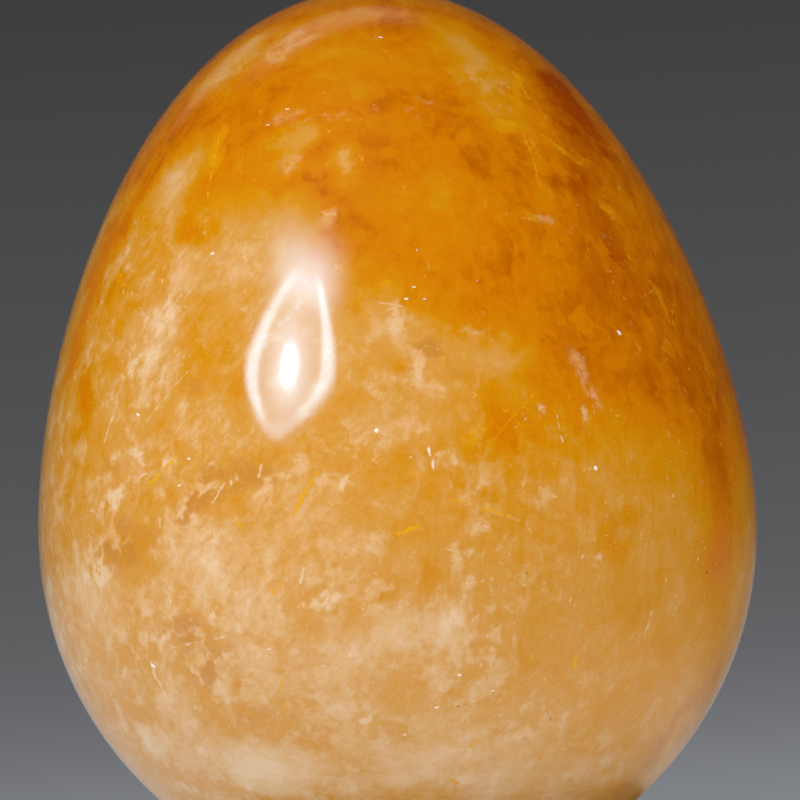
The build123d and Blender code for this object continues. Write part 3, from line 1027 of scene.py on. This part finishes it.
def bend(start, through, end):
    """Points along the arc from start by way of another point to end, each a radius and a level."""
    first, middle, last = (complex(*point) for point in (start, through, end))
    ratio = (last - first) / (middle - first)
    centre = first + (middle - first) * (ratio - abs(ratio) ** 2) / (2j * ratio.imag)
    way = 1 if phase((middle - centre) / (first - centre)) > 0 else -1
    sweep = way * (way * phase((last - centre) / (first - centre)) % (2 * pi))
    turns = [sweep * step / ARC_STEPS for step in range(ARC_STEPS + 1)]
    points = [centre + (first - centre) * rect(1, turn) for turn in turns]
    return [(point.real, point.imag) for point in points]


ARC_STEPS = 20
TURNED_SIDES = 192
SHARP = radians(30)
MERGE_DISTANCE = 0.0001 * MM


def turned(name, outline, edge):
    """A mesh turned round Z from a closed outline of radii and levels, with its edges softened."""
    form = bmesh.new()
    turns = [2 * pi * side / TURNED_SIDES for side in range(TURNED_SIDES)]
    rows = [[form.verts.new((r * cos(turn), r * sin(turn), z)) for r, z in outline] for turn in turns]
    for row, following in zip(rows, rows[1:] + rows[:1]):
        for place in range(len(outline)):
            last = place - 1
            form.faces.new((row[last], following[last], following[place], row[place]))
    bmesh.ops.remove_doubles(form, verts=form.verts, dist=MERGE_DISTANCE)
    bmesh.ops.dissolve_degenerate(form, edges=form.edges, dist=MERGE_DISTANCE / 10)
    bmesh.ops.recalc_face_normals(form, faces=form.faces)
    sharp = [line for line in form.edges if line.calc_face_angle(0) > SHARP]
    bmesh.ops.bevel(
        form, geom=sharp, offset=edge, segments=3, profile=0.5, affect="EDGES", clamp_overlap=True
    )
    for face in form.faces:
        face.smooth = True
    mesh = bpy.data.meshes.new(name)
    form.to_mesh(mesh)
    form.free()
    return mesh


def on_dish(radius, turn):
    """The radius and level of a point this far from the egg's waist centre, turned from straight down."""
    return radius * sin(turn), WAIST_LEVEL - radius * cos(turn)


def dish_turns(shape):
    """The dish's radius, and its turns from straight down to the bore and to the lip."""
    radius = hypot(shape.lip_radius, WAIST_LEVEL - RING_TOP)
    return radius, asin(shape.bore_radius / radius), asin(shape.lip_radius / radius)


def ring_outline(shape):
    """The ring's section: lower bead, cove and upper bead outside, dish and bore inside."""
    lower_top = RING_BOTTOM + shape.lower_bead
    lower_foot = RING_RADIUS - shape.lower_bead / 2
    upper_bottom = RING_TOP - shape.upper_bead
    upper_foot = shape.lip_radius + shape.rim_width
    cove_low = (lower_foot - shape.step_depth, lower_top + shape.step_height)
    cove_high = (upper_foot - shape.step_depth, upper_bottom - shape.step_height)
    cove_middle = ((cove_low[0] + cove_high[0]) / 2 - shape.cove_depth, (cove_low[1] + cove_high[1]) / 2)
    radius, at_bore, at_lip = dish_turns(shape)
    dish_middle = on_dish(radius, (at_bore + at_lip) / 2)
    lower_middle = (RING_RADIUS, (RING_BOTTOM + lower_top) / 2)
    upper_middle = (upper_foot + shape.upper_bead / 2, (upper_bottom + RING_TOP) / 2)
    return [
        (shape.bore_radius + shape.bore_chamfer, RING_BOTTOM),
        *bend((lower_foot, RING_BOTTOM), lower_middle, (lower_foot, lower_top)),
        (cove_low[0], lower_top),
        *bend(cove_low, cove_middle, cove_high),
        (cove_high[0], upper_bottom),
        *bend((upper_foot, upper_bottom), upper_middle, (upper_foot, RING_TOP)),
        *bend((shape.lip_radius, RING_TOP), dish_middle, on_dish(radius, at_bore)),
        (shape.bore_radius, RING_BOTTOM + shape.bore_chamfer),
    ]


def foot_outline(shape):
    """A foot's half section, from the middle of its sole to the middle of its top."""
    collar_bottom = RING_BOTTOM - shape.collar_height
    return [
        (0, FOOT_BOTTOM),
        *bend(
            (shape.sole_radius, FOOT_BOTTOM),
            (BUN_RADIUS, (FOOT_BOTTOM + collar_bottom) / 2),
            (shape.neck_radius, collar_bottom),
        ),
        (shape.collar_radius, collar_bottom),
        (shape.collar_radius, RING_BOTTOM),
        (0, RING_BOTTOM),
    ]


def pad_outline():
    """A foot pad's half section: flat above and below, with a soft side."""
    pinch = (pad_high.z - pad_low.z) * PAD_PINCH
    return [
        (0, pad_low.z),
        *bend(
            (PAD_RADIUS - pinch, pad_low.z),
            (PAD_RADIUS, (pad_low.z + pad_high.z) / 2),
            (PAD_RADIUS - pinch, pad_high.z),
        ),
        (0, pad_high.z),
    ]


PAD_PINCH = 0.16


def liner_outline(shape, felt):
    """The section of the felt band that follows the dish."""
    radius, at_bore, at_lip = dish_turns(shape)
    low = at_bore + felt.margin / radius
    high = at_lip - felt.margin / radius
    face = radius - felt.thickness
    return [
        *bend(*(on_dish(radius, turn) for turn in (low, (low + high) / 2, high))),
        *bend(*(on_dish(face, turn) for turn in (high, (low + high) / 2, low))),
    ]


def spaced_tree():
    """A tree that sets copies of a piece evenly round a circle about Z."""
    inputs = {
        "Geometry": "NodeSocketGeometry",
        "Count": "NodeSocketInt",
        "Circle Radius": "NodeSocketFloat",
        "First Angle": "NodeSocketFloat",
        "Material": "NodeSocketMaterial",
    }
    tree, wire, given = geometry_tree("spaced_round_the_ring", inputs)
    turn = given["First Angle"] + wire.node("GeometryNodeInputIndex") * (2 * pi) / given["Count"]
    across = wire.math("COSINE", turn) * given["Circle Radius"]
    along = wire.math("SINE", turn) * given["Circle Radius"]
    place = wire.joined(X=across, Y=along)
    points = wire.node("GeometryNodePoints", None, {"Count": given["Count"], "Position": place})
    facing = wire.joined(Z=turn)
    copies = {"Points": points, "Instance": given["Geometry"], "Rotation": facing}
    end_tree(wire, wire.node("GeometryNodeInstanceOnPoints", None, copies), given["Material"])
    return tree


def felt_tree():
    """A tree that makes a piece's open faces uneven and lays short bent fibres over them."""
    sizes = ("Fibre Length", "Fibre Radius", "Fibre Lift", "Lumps", "Density", "Lowest")
    inputs = {"Geometry": "NodeSocketGeometry"} | {label: "NodeSocketFloat" for label in sizes}
    inputs |= {"Seed": "NodeSocketInt", "Material": "NodeSocketMaterial"}
    tree, wire, given = geometry_tree("felt_nap", inputs)

    # Faces that neither lie on the wood nor rest on the table
    normal = wire.node("GeometryNodeInputNormal")
    level = normal.part("Z")
    open_face = wire.math("COMPARE", level, (NAP_LOWEST + NAP_HIGHEST) / 2, (NAP_HIGHEST - NAP_LOWEST) / 2)
    lumps = (wire.node("GeometryNodeInputPosition").noise(FELT_LUMP, 3, 0.6) - 0.6) * given["Lumps"]
    moved = {"Geometry": given["Geometry"], "Selection": open_face, "Offset": scaled(normal, lumps)}
    ground = wire.node("GeometryNodeSetPosition", None, moved)

    # One fibre, then copies of it that lie every way
    middle = wire.joined(X=given["Fibre Length"] * 0.4, Z=given["Fibre Lift"] * 2)
    far = wire.joined(X=given["Fibre Length"], Y=given["Fibre Length"] * 0.3)
    line = {"Resolution": FIBRE_STEPS, "Start": (0, 0, 0), "Middle": middle, "End": far}
    curve = wire.node("GeometryNodeCurveQuadraticBezier", None, line)
    round_section = {"Resolution": FIBRE_SIDES, "Radius": given["Fibre Radius"]}
    section = wire.node("GeometryNodeCurvePrimitiveCircle", {"mode": "RADIUS"}, round_section, "Curve")
    swept = {"Curve": curve, "Profile Curve": section, "Fill Caps": True}
    fibre = wire.node("GeometryNodeCurveToMesh", None, swept)
    spread = {"Mesh": ground, "Selection": open_face, "Density": given["Density"], "Seed": given["Seed"]}
    points = wire.node("GeometryNodeDistributePointsOnFaces", None, spread, "Points")
    lying = Wire(tree, points.socket.node.outputs["Rotation"])
    sizes_drawn = {"Min_001": 0.5, "Max_001": 1.0, "Seed": FIBRE_SIZE_SEED}
    size = wire.node("FunctionNodeRandomValue", {"data_type": "FLOAT"}, sizes_drawn, 0)
    copies = {"Points": points, "Instance": fibre, "Rotation": lying, "Scale": size}
    laid = wire.node("GeometryNodeInstanceOnPoints", None, copies)
    turns = {"Min": (0, 0, 0), "Max": (0, 0, 2 * pi), "Seed": FIBRE_TURN_SEED}
    turn = wire.node("FunctionNodeRandomValue", {"data_type": "FLOAT_VECTOR"}, turns)
    nap = wire.node("GeometryNodeRotateInstances", None, {"Instances": laid, "Rotation": turn})
    joined = tree.nodes.new("GeometryNodeJoinGeometry")
    for part in (ground, nap):
        tree.links.new(part.socket, joined.inputs[0])

    # No fibre reaches below the lowest level
    solid = wire.node("GeometryNodeRealizeInstances", None, {"Geometry": Wire(tree, joined.outputs[0])})
    height = wire.node("GeometryNodeInputPosition").part("Z")
    lift = wire.joined(Z=(given["Lowest"] - height).most(0.0))
    kept = wire.node("GeometryNodeSetPosition", None, {"Geometry": solid, "Offset": lift})
    end_tree(wire, kept, given["Material"])
    return tree


# Upward part of the normals of faces that carry fibres, from and to
NAP_LOWEST = -0.2
NAP_HIGHEST = 0.95
FELT_LUMP = 0.7 * MM
FIBRE_STEPS = 3
FIBRE_SIDES = 3
FIBRE_PLACE_SEED = 11
FIBRE_SIZE_SEED = 3
FIBRE_TURN_SEED = 7


def wood_material(name, look, grain):
    """Lacquered hardwood whose grain runs along the first axis of this turn."""

    def inputs_of(place):
        bent = place.shifted(9 * MM, 0.9 * MM, 2.0)
        drawn = bent.along(grain, 14.0)
        across = bent.along(grain, 1.0).vector("SUBTRACT", PITH).vector("MULTIPLY", (0, 1, 1))
        growth = place.math("FRACT", across.vector("LENGTH", out="Value") / look.ring_spacing)
        late = growth.rise(0.30, 0.95)
        streak = drawn.noise(1.1 * MM, 4, 0.6)
        pores = drawn.noise(0.20 * MM, 2, 0.6).rise(0.60, 0.72)
        tone = 0.42 * late + 1.3 * (streak - 0.5) + 0.28
        wood = tone.most(0.0).least(1.0).mix(look.early, look.late)
        wood = (pores * (0.35 + 0.4 * late)).mix(wood, look.pore)
        grooves = place.node("ShaderNodeBump", None, {"Height": 1 - pores, "Distance": PORE_DEPTH}, "Normal")
        return {
            "Base Color": wood,
            "Roughness": look.roughness + 0.18 * pores + 0.12 * (streak - 0.5),
            "IOR": LACQUER_IOR,
            "Coat Weight": look.lacquer,
            "Coat Roughness": LACQUER_ROUGHNESS,
            "Normal": grooves,
        }

    return principled_material(name, inputs_of)


PORE_DEPTH = 0.015 * MM
LACQUER_IOR = 1.5
LACQUER_ROUGHNESS = 0.16
# Where the tree's middle lay, from the stand's own middle
PITH = (0, 31 * MM, -14 * MM)
# Turns that draw the grain along an axis
GRAIN_ALONG_X = (0, 0, 0)
GRAIN_ALONG_Z = (0, -pi / 2, 0)


def felt_material(look):
    """Matted felt with lighter fibres."""

    def inputs_of(place):
        mat = place.shifted(0.5 * MM, 0.2 * MM).noise(0.16 * MM, 3, 0.65)
        worn = place.noise(3 * MM, 3)
        fibre = (mat.rise(0.42, 0.70) * 0.7 + 0.6 * (worn - 0.4)).most(0.0).least(1.0)
        fuzz = place.node("ShaderNodeBump", None, {"Height": mat, "Distance": FUZZ_DEPTH}, "Normal")
        return {
            "Base Color": fibre.mix(look.ground, look.fibre),
            "Roughness": 0.88 + 0.1 * mat,
            "Sheen Weight": FELT_SHEEN,
            "Sheen Roughness": FELT_SHEEN_ROUGHNESS,
            "Sheen Tint": look.fibre,
            "Normal": fuzz,
        }

    return principled_material("green_felt", inputs_of)


FUZZ_DEPTH = 0.05 * MM
FELT_SHEEN = 0.35
FELT_SHEEN_ROUGHNESS = 0.45


class TurnedRing(bpy.types.Operator):
    """Build the moulded ring with its dished seat"""

    bl_idname = "quartz_egg.ring"
    bl_label = "Turned ring"

    def execute(self, context):
        shape = context.scene.egg_stand
        ring = bpy.data.objects.new("turned_ring", turned("turned_ring", ring_outline(shape), shape.edge))
        context.scene.collection.objects.link(ring)
        ring.data.materials.append(wood_material("ring_wood", context.scene.egg_wood, GRAIN_ALONG_X))
        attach(ring, "stand")
        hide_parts("seat_ring")
        return {"FINISHED"}


class BunFeet(bpy.types.Operator):
    """Build the three turned feet"""

    bl_idname = "quartz_egg.feet"
    bl_label = "Bun feet"

    def execute(self, context):
        shape = context.scene.egg_stand
        wood = wood_material("foot_wood", context.scene.egg_wood, GRAIN_ALONG_Z)
        foot = turned("foot", foot_outline(shape), shape.edge)
        feet = grow("bun_feet", spaced_tree(), spacing(FEET, wood), foot)
        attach(feet, "stand")
        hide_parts(*FEET)
        return {"FINISHED"}


def spacing(nodes, material):
    """Values that set one copy of a piece where each of these feet stands."""
    return {
        "Count": len(nodes),
        "Circle Radius": FOOT_CIRCLE,
        "First Angle": FIRST_FOOT,
        "Material": material,
    }


class FeltPieces(bpy.types.Operator):
    """Build the felt in the seat and the pads under the feet"""

    bl_idname = "quartz_egg.felt"
    bl_label = "Felt pieces"

    def execute(self, context):
        shape = context.scene.egg_stand
        look = context.scene.egg_felt
        felt = felt_material(look)
        nap = {
            "Fibre Length": look.fibre_length,
            "Fibre Radius": look.fibre_radius,
            "Fibre Lift": look.fibre_lift,
            "Lumps": look.lumps,
            "Density": look.density,
            "Lowest": pad_low.z,
            "Seed": FIBRE_PLACE_SEED,
            "Material": felt,
        }
        band = turned("seat_felt", liner_outline(shape, look), shape.edge)
        liner = grow("seat_felt", felt_tree(), nap, band)
        disc = grow("pad_felt", felt_tree(), nap, turned("pad_felt", pad_outline(), shape.edge))
        pads = grow("pad_felts", spaced_tree(), spacing(FOOT_PADS, felt), disc.data)
        bpy.data.objects.remove(disc)
        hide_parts("seat_liner")
        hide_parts(*FOOT_PADS)
        for piece in (liner, pads):
            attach(piece, "stand")
        return {"FINISHED"}


# Stage


def emitter_material(name, tint, strength_of):
    """A lamp's face of this colour, whose radiance strength_of gives across and up its own map."""
    material, wire, output = new_material(name)
    place = wire.node("ShaderNodeTexCoord", out="UV")
    across = place.part("X")
    upward = place.part("Y")
    radiance = scaled(tint[:3], strength_of(across, upward), wire)
    glow = wire.node("ShaderNodeEmission", None, {"Color": radiance})
    wire.tree.links.new(glow.socket, output.inputs["Surface"])
    return material


def panel(name, middle, towards, half_width, sides, ends, material):
    """A lamp's face that looks at a point; its map counts half widths across its sides and up its ends."""
    facing = (towards - middle).normalized()
    across = facing.cross(Vector((0, 0, 1))).normalized()
    upward = across.cross(facing)
    corners = [(sides[0], ends[0]), (sides[1], ends[0]), (sides[1], ends[1]), (sides[0], ends[1])]
    mesh = bpy.data.meshes.new(name)
    places = [middle + across * half_width * u + upward * half_width * v for u, v in corners]
    mesh.from_pydata(places, [], [(0, 1, 2, 3)])
    layer = mesh.uv_layers.new(name="face")
    for loop, corner in zip(layer.data, corners):
        loop.uv = corner
    mesh.materials.append(material)
    lamp = bpy.data.objects.new(name, mesh)
    lamp.visible_camera = False
    lamp.visible_diffuse = False
    bpy.context.scene.collection.objects.link(lamp)


def leaf(across, upward):
    """The key reflector's face: a leaf with a lined rim, a dim dish and a hot middle, spilling upwards."""
    below = (-1 * upward).most(0.0)
    above = upward.most(0.0)
    half_width = (1 - (below / LEAF_FOOT) ** 1.7 - 0.85 * above ** 1.6).most(0.02)
    reach = abs(across + 0.33 * below - 0.2 * above) / half_width
    lines = 0.82 + 0.18 * across.math("SINE", reach * (2 * pi / LEAF_LINES))
    inside = (1 - reach.rise(0.90, 1.08)) * (1 - below.rise(0.61, 0.68))
    open_top = 1 - upward.rise(0.72, 0.98)
    closed = 1 - upward.rise(-0.62, -0.53)
    rim = reach.rise(0.58, 0.76).most(closed) * inside * open_top
    hot = ((across / LEAF_HOT) ** 2 + (upward / LEAF_HOT) ** 2) ** 0.5
    middle = 1.3 * (1 - hot.rise(0.6, 1.4)) + 0.40 * (1 - hot.rise(0.6, 3.6))
    dish = 0.34 * inside * open_top
    spill_side = 1 - abs(across - 0.20).rise(0.15, 1.0)
    spill = upward.rise(0.45, 0.85) * (1 - upward.rise(0.80, 1.55)) ** 1.5 * spill_side
    along = across.joined(Y=upward)
    streaks = along.noise(LEAF_STREAKS, 2).rise(0.35, 0.65)
    smear_side = 1 - abs(across - 0.05).rise(0.3, 1.3)
    smear = upward.rise(0.45, 0.95) * (1 - upward.rise(1.05, 1.65)) * smear_side * (0.35 + 0.65 * streaks)
    return rim.most(dish) * lines + middle * inside + 0.46 * spill + 0.30 * smear


# In half widths of the leaf: spacing of its lines and streaks, reach of its hot middle and of its foot
LEAF_LINES = 0.12
LEAF_STREAKS = 0.05
LEAF_HOT = 0.17
LEAF_FOOT = 0.70
# The pixel whose glint is the key reflector, and where that stands
KEY_PIXEL = (291, 363)
KEY_DISTANCE = 0.55
KEY_HALF_WIDTH = 0.15
KEY_SIDES = (-1.5, 2.0)
KEY_ENDS = (-0.85, 1.7)


class Stage(bpy.types.Operator):
    """Set the camera, the lamps, the floor and the room"""

    bl_idname = "quartz_egg.stage"
    bl_label = "Stage"

    def execute(self, context):
        scene = context.scene
        look = scene.egg_stage
        view = View(look)
        view.surface = surface_of(bpy.data.objects["quartz_egg"])
        add_camera(scene, view)
        add_lamps(look, view)
        add_floor()
        add_room(scene, look)
        scene.view_settings.view_transform = "Standard"
        return {"FINISHED"}


def add_camera(scene, view):
    """The camera at the photograph's view."""
    data = bpy.data.cameras.new("camera")
    data.sensor_width = SENSOR_WIDTH
    data.lens = view.lens
    data.clip_start = NEAREST_SEEN
    camera = bpy.data.objects.new("camera", data)
    axes = Matrix((view.right, view.up, -view.ahead)).transposed()
    camera.matrix_world = Matrix.Translation(view.place) @ axes.to_4x4()
    scene.collection.objects.link(camera)
    scene.camera = camera


def add_lamps(look, view):
    """A key reflector whose glint shows in the stone, panels behind the egg, and lamps without a glint."""
    spot, normal = view.spot(*KEY_PIXEL)
    seen = (view.place - spot).normalized()
    direction = 2 * normal.dot(seen) * normal - seen
    key_place = spot + direction * KEY_DISTANCE
    reflector = emitter_material("key_face", look.glow_tint, lambda u, v: leaf(u, v) * look.glow)
    panel("key_reflector", key_place, spot, KEY_HALF_WIDTH, KEY_SIDES, KEY_ENDS, reflector)
    for name, (azimuth, elevation, half_width, half_height, strength) in BACK_PANELS.items():
        away = Vector((sin(azimuth) * cos(elevation), cos(azimuth) * cos(elevation), sin(elevation)))
        face = f"{name}_face"
        glow = emitter_material(face, WHITE, lambda u, v: soft_edges(u, v / half_height) * strength)
        panel(name, AIM + away * BACK_DISTANCE, AIM, half_width, (-1, 1), (-half_height, half_height), glow)
    soft_lamp("key_lamp", look.key, key_place, KEY_LAMP_WIDTH)
    soft_lamp("fill_lamp", look.fill, *FILL_LAMP)
    soft_lamp("low_lamp", look.low, *LOW_LAMP)
    soft_lamp("top_lamp", look.top, *TOP_LAMP)


KEY_LAMP_WIDTH = 0.3
# Where the other lamps stand, and how wide they are
FILL_LAMP = (Vector((0.68, -0.55, 0.06)), 0.5)
LOW_LAMP = (Vector((-0.42, -0.62, 0.02)), 0.5)
TOP_LAMP = (Vector((-0.12, -0.23, 0.68)), 0.4)
BACK_DISTANCE = 0.8
WHITE = (1, 1, 1, 1)
# Azimuth from straight behind towards the right, elevation, half width, height in half widths, radiance
BACK_PANELS = {
    "back_top": (radians(-16), radians(58), 0.40, 0.42, 0.4),
    "back_left": (radians(-30), radians(34), 0.15, 1.1, 0.28),
}


def soft_edges(across, upward):
    """Full strength in the middle of a panel, falling off smoothly towards its sides."""
    return (1 - abs(across).rise(0.3, 1.0)) * (1 - abs(upward).rise(0.2, 1.0))


def soft_lamp(name, energy, place, size):
    """A soft lamp that lights the pieces and doesn't show in their polish."""
    data = bpy.data.lights.new(name, "AREA")
    data.shape = "DISK"
    data.size = size
    data.energy = energy
    lamp = bpy.data.objects.new(name, data)
    lamp.location = place
    lamp.rotation_euler = (AIM - place).to_track_quat("-Z", "Y").to_euler()
    lamp.visible_glossy = False
    bpy.context.scene.collection.objects.link(lamp)


def add_floor():
    """A pale floor round the stand that fades into the room."""
    mesh = bpy.data.meshes.new("floor")
    reach = FLOOR_FADE[1]
    corners = [(-reach, -reach, 0), (reach, -reach, 0), (reach, reach, 0), (-reach, reach, 0)]
    mesh.from_pydata(corners, [], [(0, 1, 2, 3)])
    material, wire, output = new_material("floor_paper")
    place = wire.node("ShaderNodeTexCoord", out="Object")
    tone = place.noise(FLOOR_MOTTLE, 3).mix(*FLOOR_TONES)
    paper = wire.node("ShaderNodeBsdfPrincipled", None, {"Base Color": tone, "Roughness": FLOOR_ROUGHNESS})
    clear = wire.node("ShaderNodeBsdfTransparent")
    away = place.vector("LENGTH", out="Value").rise(*FLOOR_FADE)
    surface = wire.node("ShaderNodeMixShader", None, {"Fac": away, "Shader": paper, "Shader_001": clear})
    wire.tree.links.new(surface.socket, output.inputs["Surface"])
    mesh.materials.append(material)
    floor = bpy.data.objects.new("floor", mesh)
    bpy.context.scene.collection.objects.link(floor)


# How far from the middle the floor starts and ends to fade
FLOOR_FADE = (0.045, 0.115)
FLOOR_TONES = ((0.82, 0.82, 0.83, 1), (0.86, 0.86, 0.87, 1))
FLOOR_MOTTLE = 4 * MM
FLOOR_ROUGHNESS = 0.75
# The room's brightness by the upward part of a direction: a pale floor that darkens towards the horizon
ROOM_TONES = (
    (-1.0, (0.50, 0.50, 0.51, 1)),
    (-0.30, (0.44, 0.44, 0.45, 1)),
    (-0.11, (0.31, 0.32, 0.345, 1)),
    (-0.084, (0.200, 0.208, 0.226, 1)),
    (-0.074, (0.138, 0.141, 0.150, 1)),
    (-0.060, (0.107, 0.108, 0.112, 1)),
    (-0.035, (0.082, 0.082, 0.085, 1)),
    (0.02, (0.047, 0.047, 0.048, 1)),
    (1.0, (0.035, 0.035, 0.036, 1)),
)
# How much darker the polish shows the room beside the backdrop, and all that lies to the right
SIDE_DIMMING = 0.8
RIGHT_DIMMING = 0.7
# How much less light the room gives from behind the egg and from the right
BACK_SHADE = 0.5
RIGHT_SHADE = 0.45


def add_room(scene, look):
    """Dim light all round, and a grey room behind."""
    world = bpy.data.worlds.new("room")
    world.use_nodes = True
    scene.world = world
    tree = world.node_tree
    tree.nodes.clear()
    wire = Wire(tree)
    path = tree.nodes.new("ShaderNodeLightPath")
    glossy = Wire(tree, path.outputs["Is Glossy Ray"])
    through = Wire(tree, path.outputs["Is Transmission Ray"])
    polish = (glossy + through).least(1.0)
    seen = (polish + Wire(tree, path.outputs["Is Camera Ray"])).least(1.0)
    direction = wire.node("ShaderNodeTexCoord", out="Generated")
    upward = direction.part("Z")
    stops = [((level + 1) / 2, tone) for level, tone in ROOM_TONES]
    tones = wire.node("ShaderNodeValToRGB", {"stops": stops}, {"Fac": (upward + 1) / 2}, "Color")
    unseen = upward.rise(-0.15, 0.1).mix((look.bounce,) * 3 + (1,), (look.ambient,) * 3 + (1,))
    onward = direction.part("Y")
    rightward = direction.part("X")
    beside = 1 - SIDE_DIMMING * (1 - onward.rise(0.6, 0.98)) * upward.rise(-0.2, 0.0)
    dimmed = 1 - beside * (1 - RIGHT_DIMMING * rightward.rise(0.0, 0.5))
    behind = BACK_SHADE * onward.rise(-0.4, 0.6)
    shaded = behind.most(RIGHT_SHADE * rightward.rise(-0.1, 0.9) * upward.rise(-0.3, 0.1))
    strength = 1 - polish * dimmed - (1 - seen) * shaded
    shades = {"Color": seen.mix(unseen, tones), "Strength": strength}
    backdrop = wire.node("ShaderNodeBackground", None, shades)
    output = tree.nodes.new("ShaderNodeOutputWorld")
    tree.links.new(backdrop.socket, output.inputs["Surface"])


# Panel, registration and the whole build


class EggPanel(bpy.types.Panel):
    """Lists the pieces and the stage"""

    bl_idname = "VIEW3D_PT_quartz_egg"
    bl_label = "Quartz egg"
    bl_space_type = "VIEW_3D"
    bl_region_type = "UI"
    bl_category = "Egg"

    def draw(self, context):
        for operator in OPERATORS:
            self.layout.operator(operator.bl_idname)


GROUPS = {
    "egg_shape": EggShape,
    "egg_quartz": QuartzLook,
    "egg_stand": StandShape,
    "egg_wood": WoodLook,
    "egg_felt": FeltLook,
    "egg_stage": StageLook,
}
OPERATORS = (QuartzEgg, TurnedRing, BunFeet, FeltPieces, Stage)


def register():
    """Adds the classes and the scene's settings to Blender."""
    for item in (*GROUPS.values(), *OPERATORS, EggPanel):
        bpy.utils.register_class(item)
    for name, group in GROUPS.items():
        setattr(bpy.types.Scene, name, PointerProperty(type=group))


def unregister():
    """Takes them out again."""
    for name in GROUPS:
        delattr(bpy.types.Scene, name)
    for item in (EggPanel, *OPERATORS, *GROUPS.values()):
        bpy.utils.unregister_class(item)


def main():
    """Builds every piece and the stage."""
    register()
    bpy.ops.quartz_egg.egg()
    bpy.ops.quartz_egg.ring()
    bpy.ops.quartz_egg.feet()
    bpy.ops.quartz_egg.felt()
    bpy.ops.quartz_egg.stage()


if __name__ == "__main__":
    main()
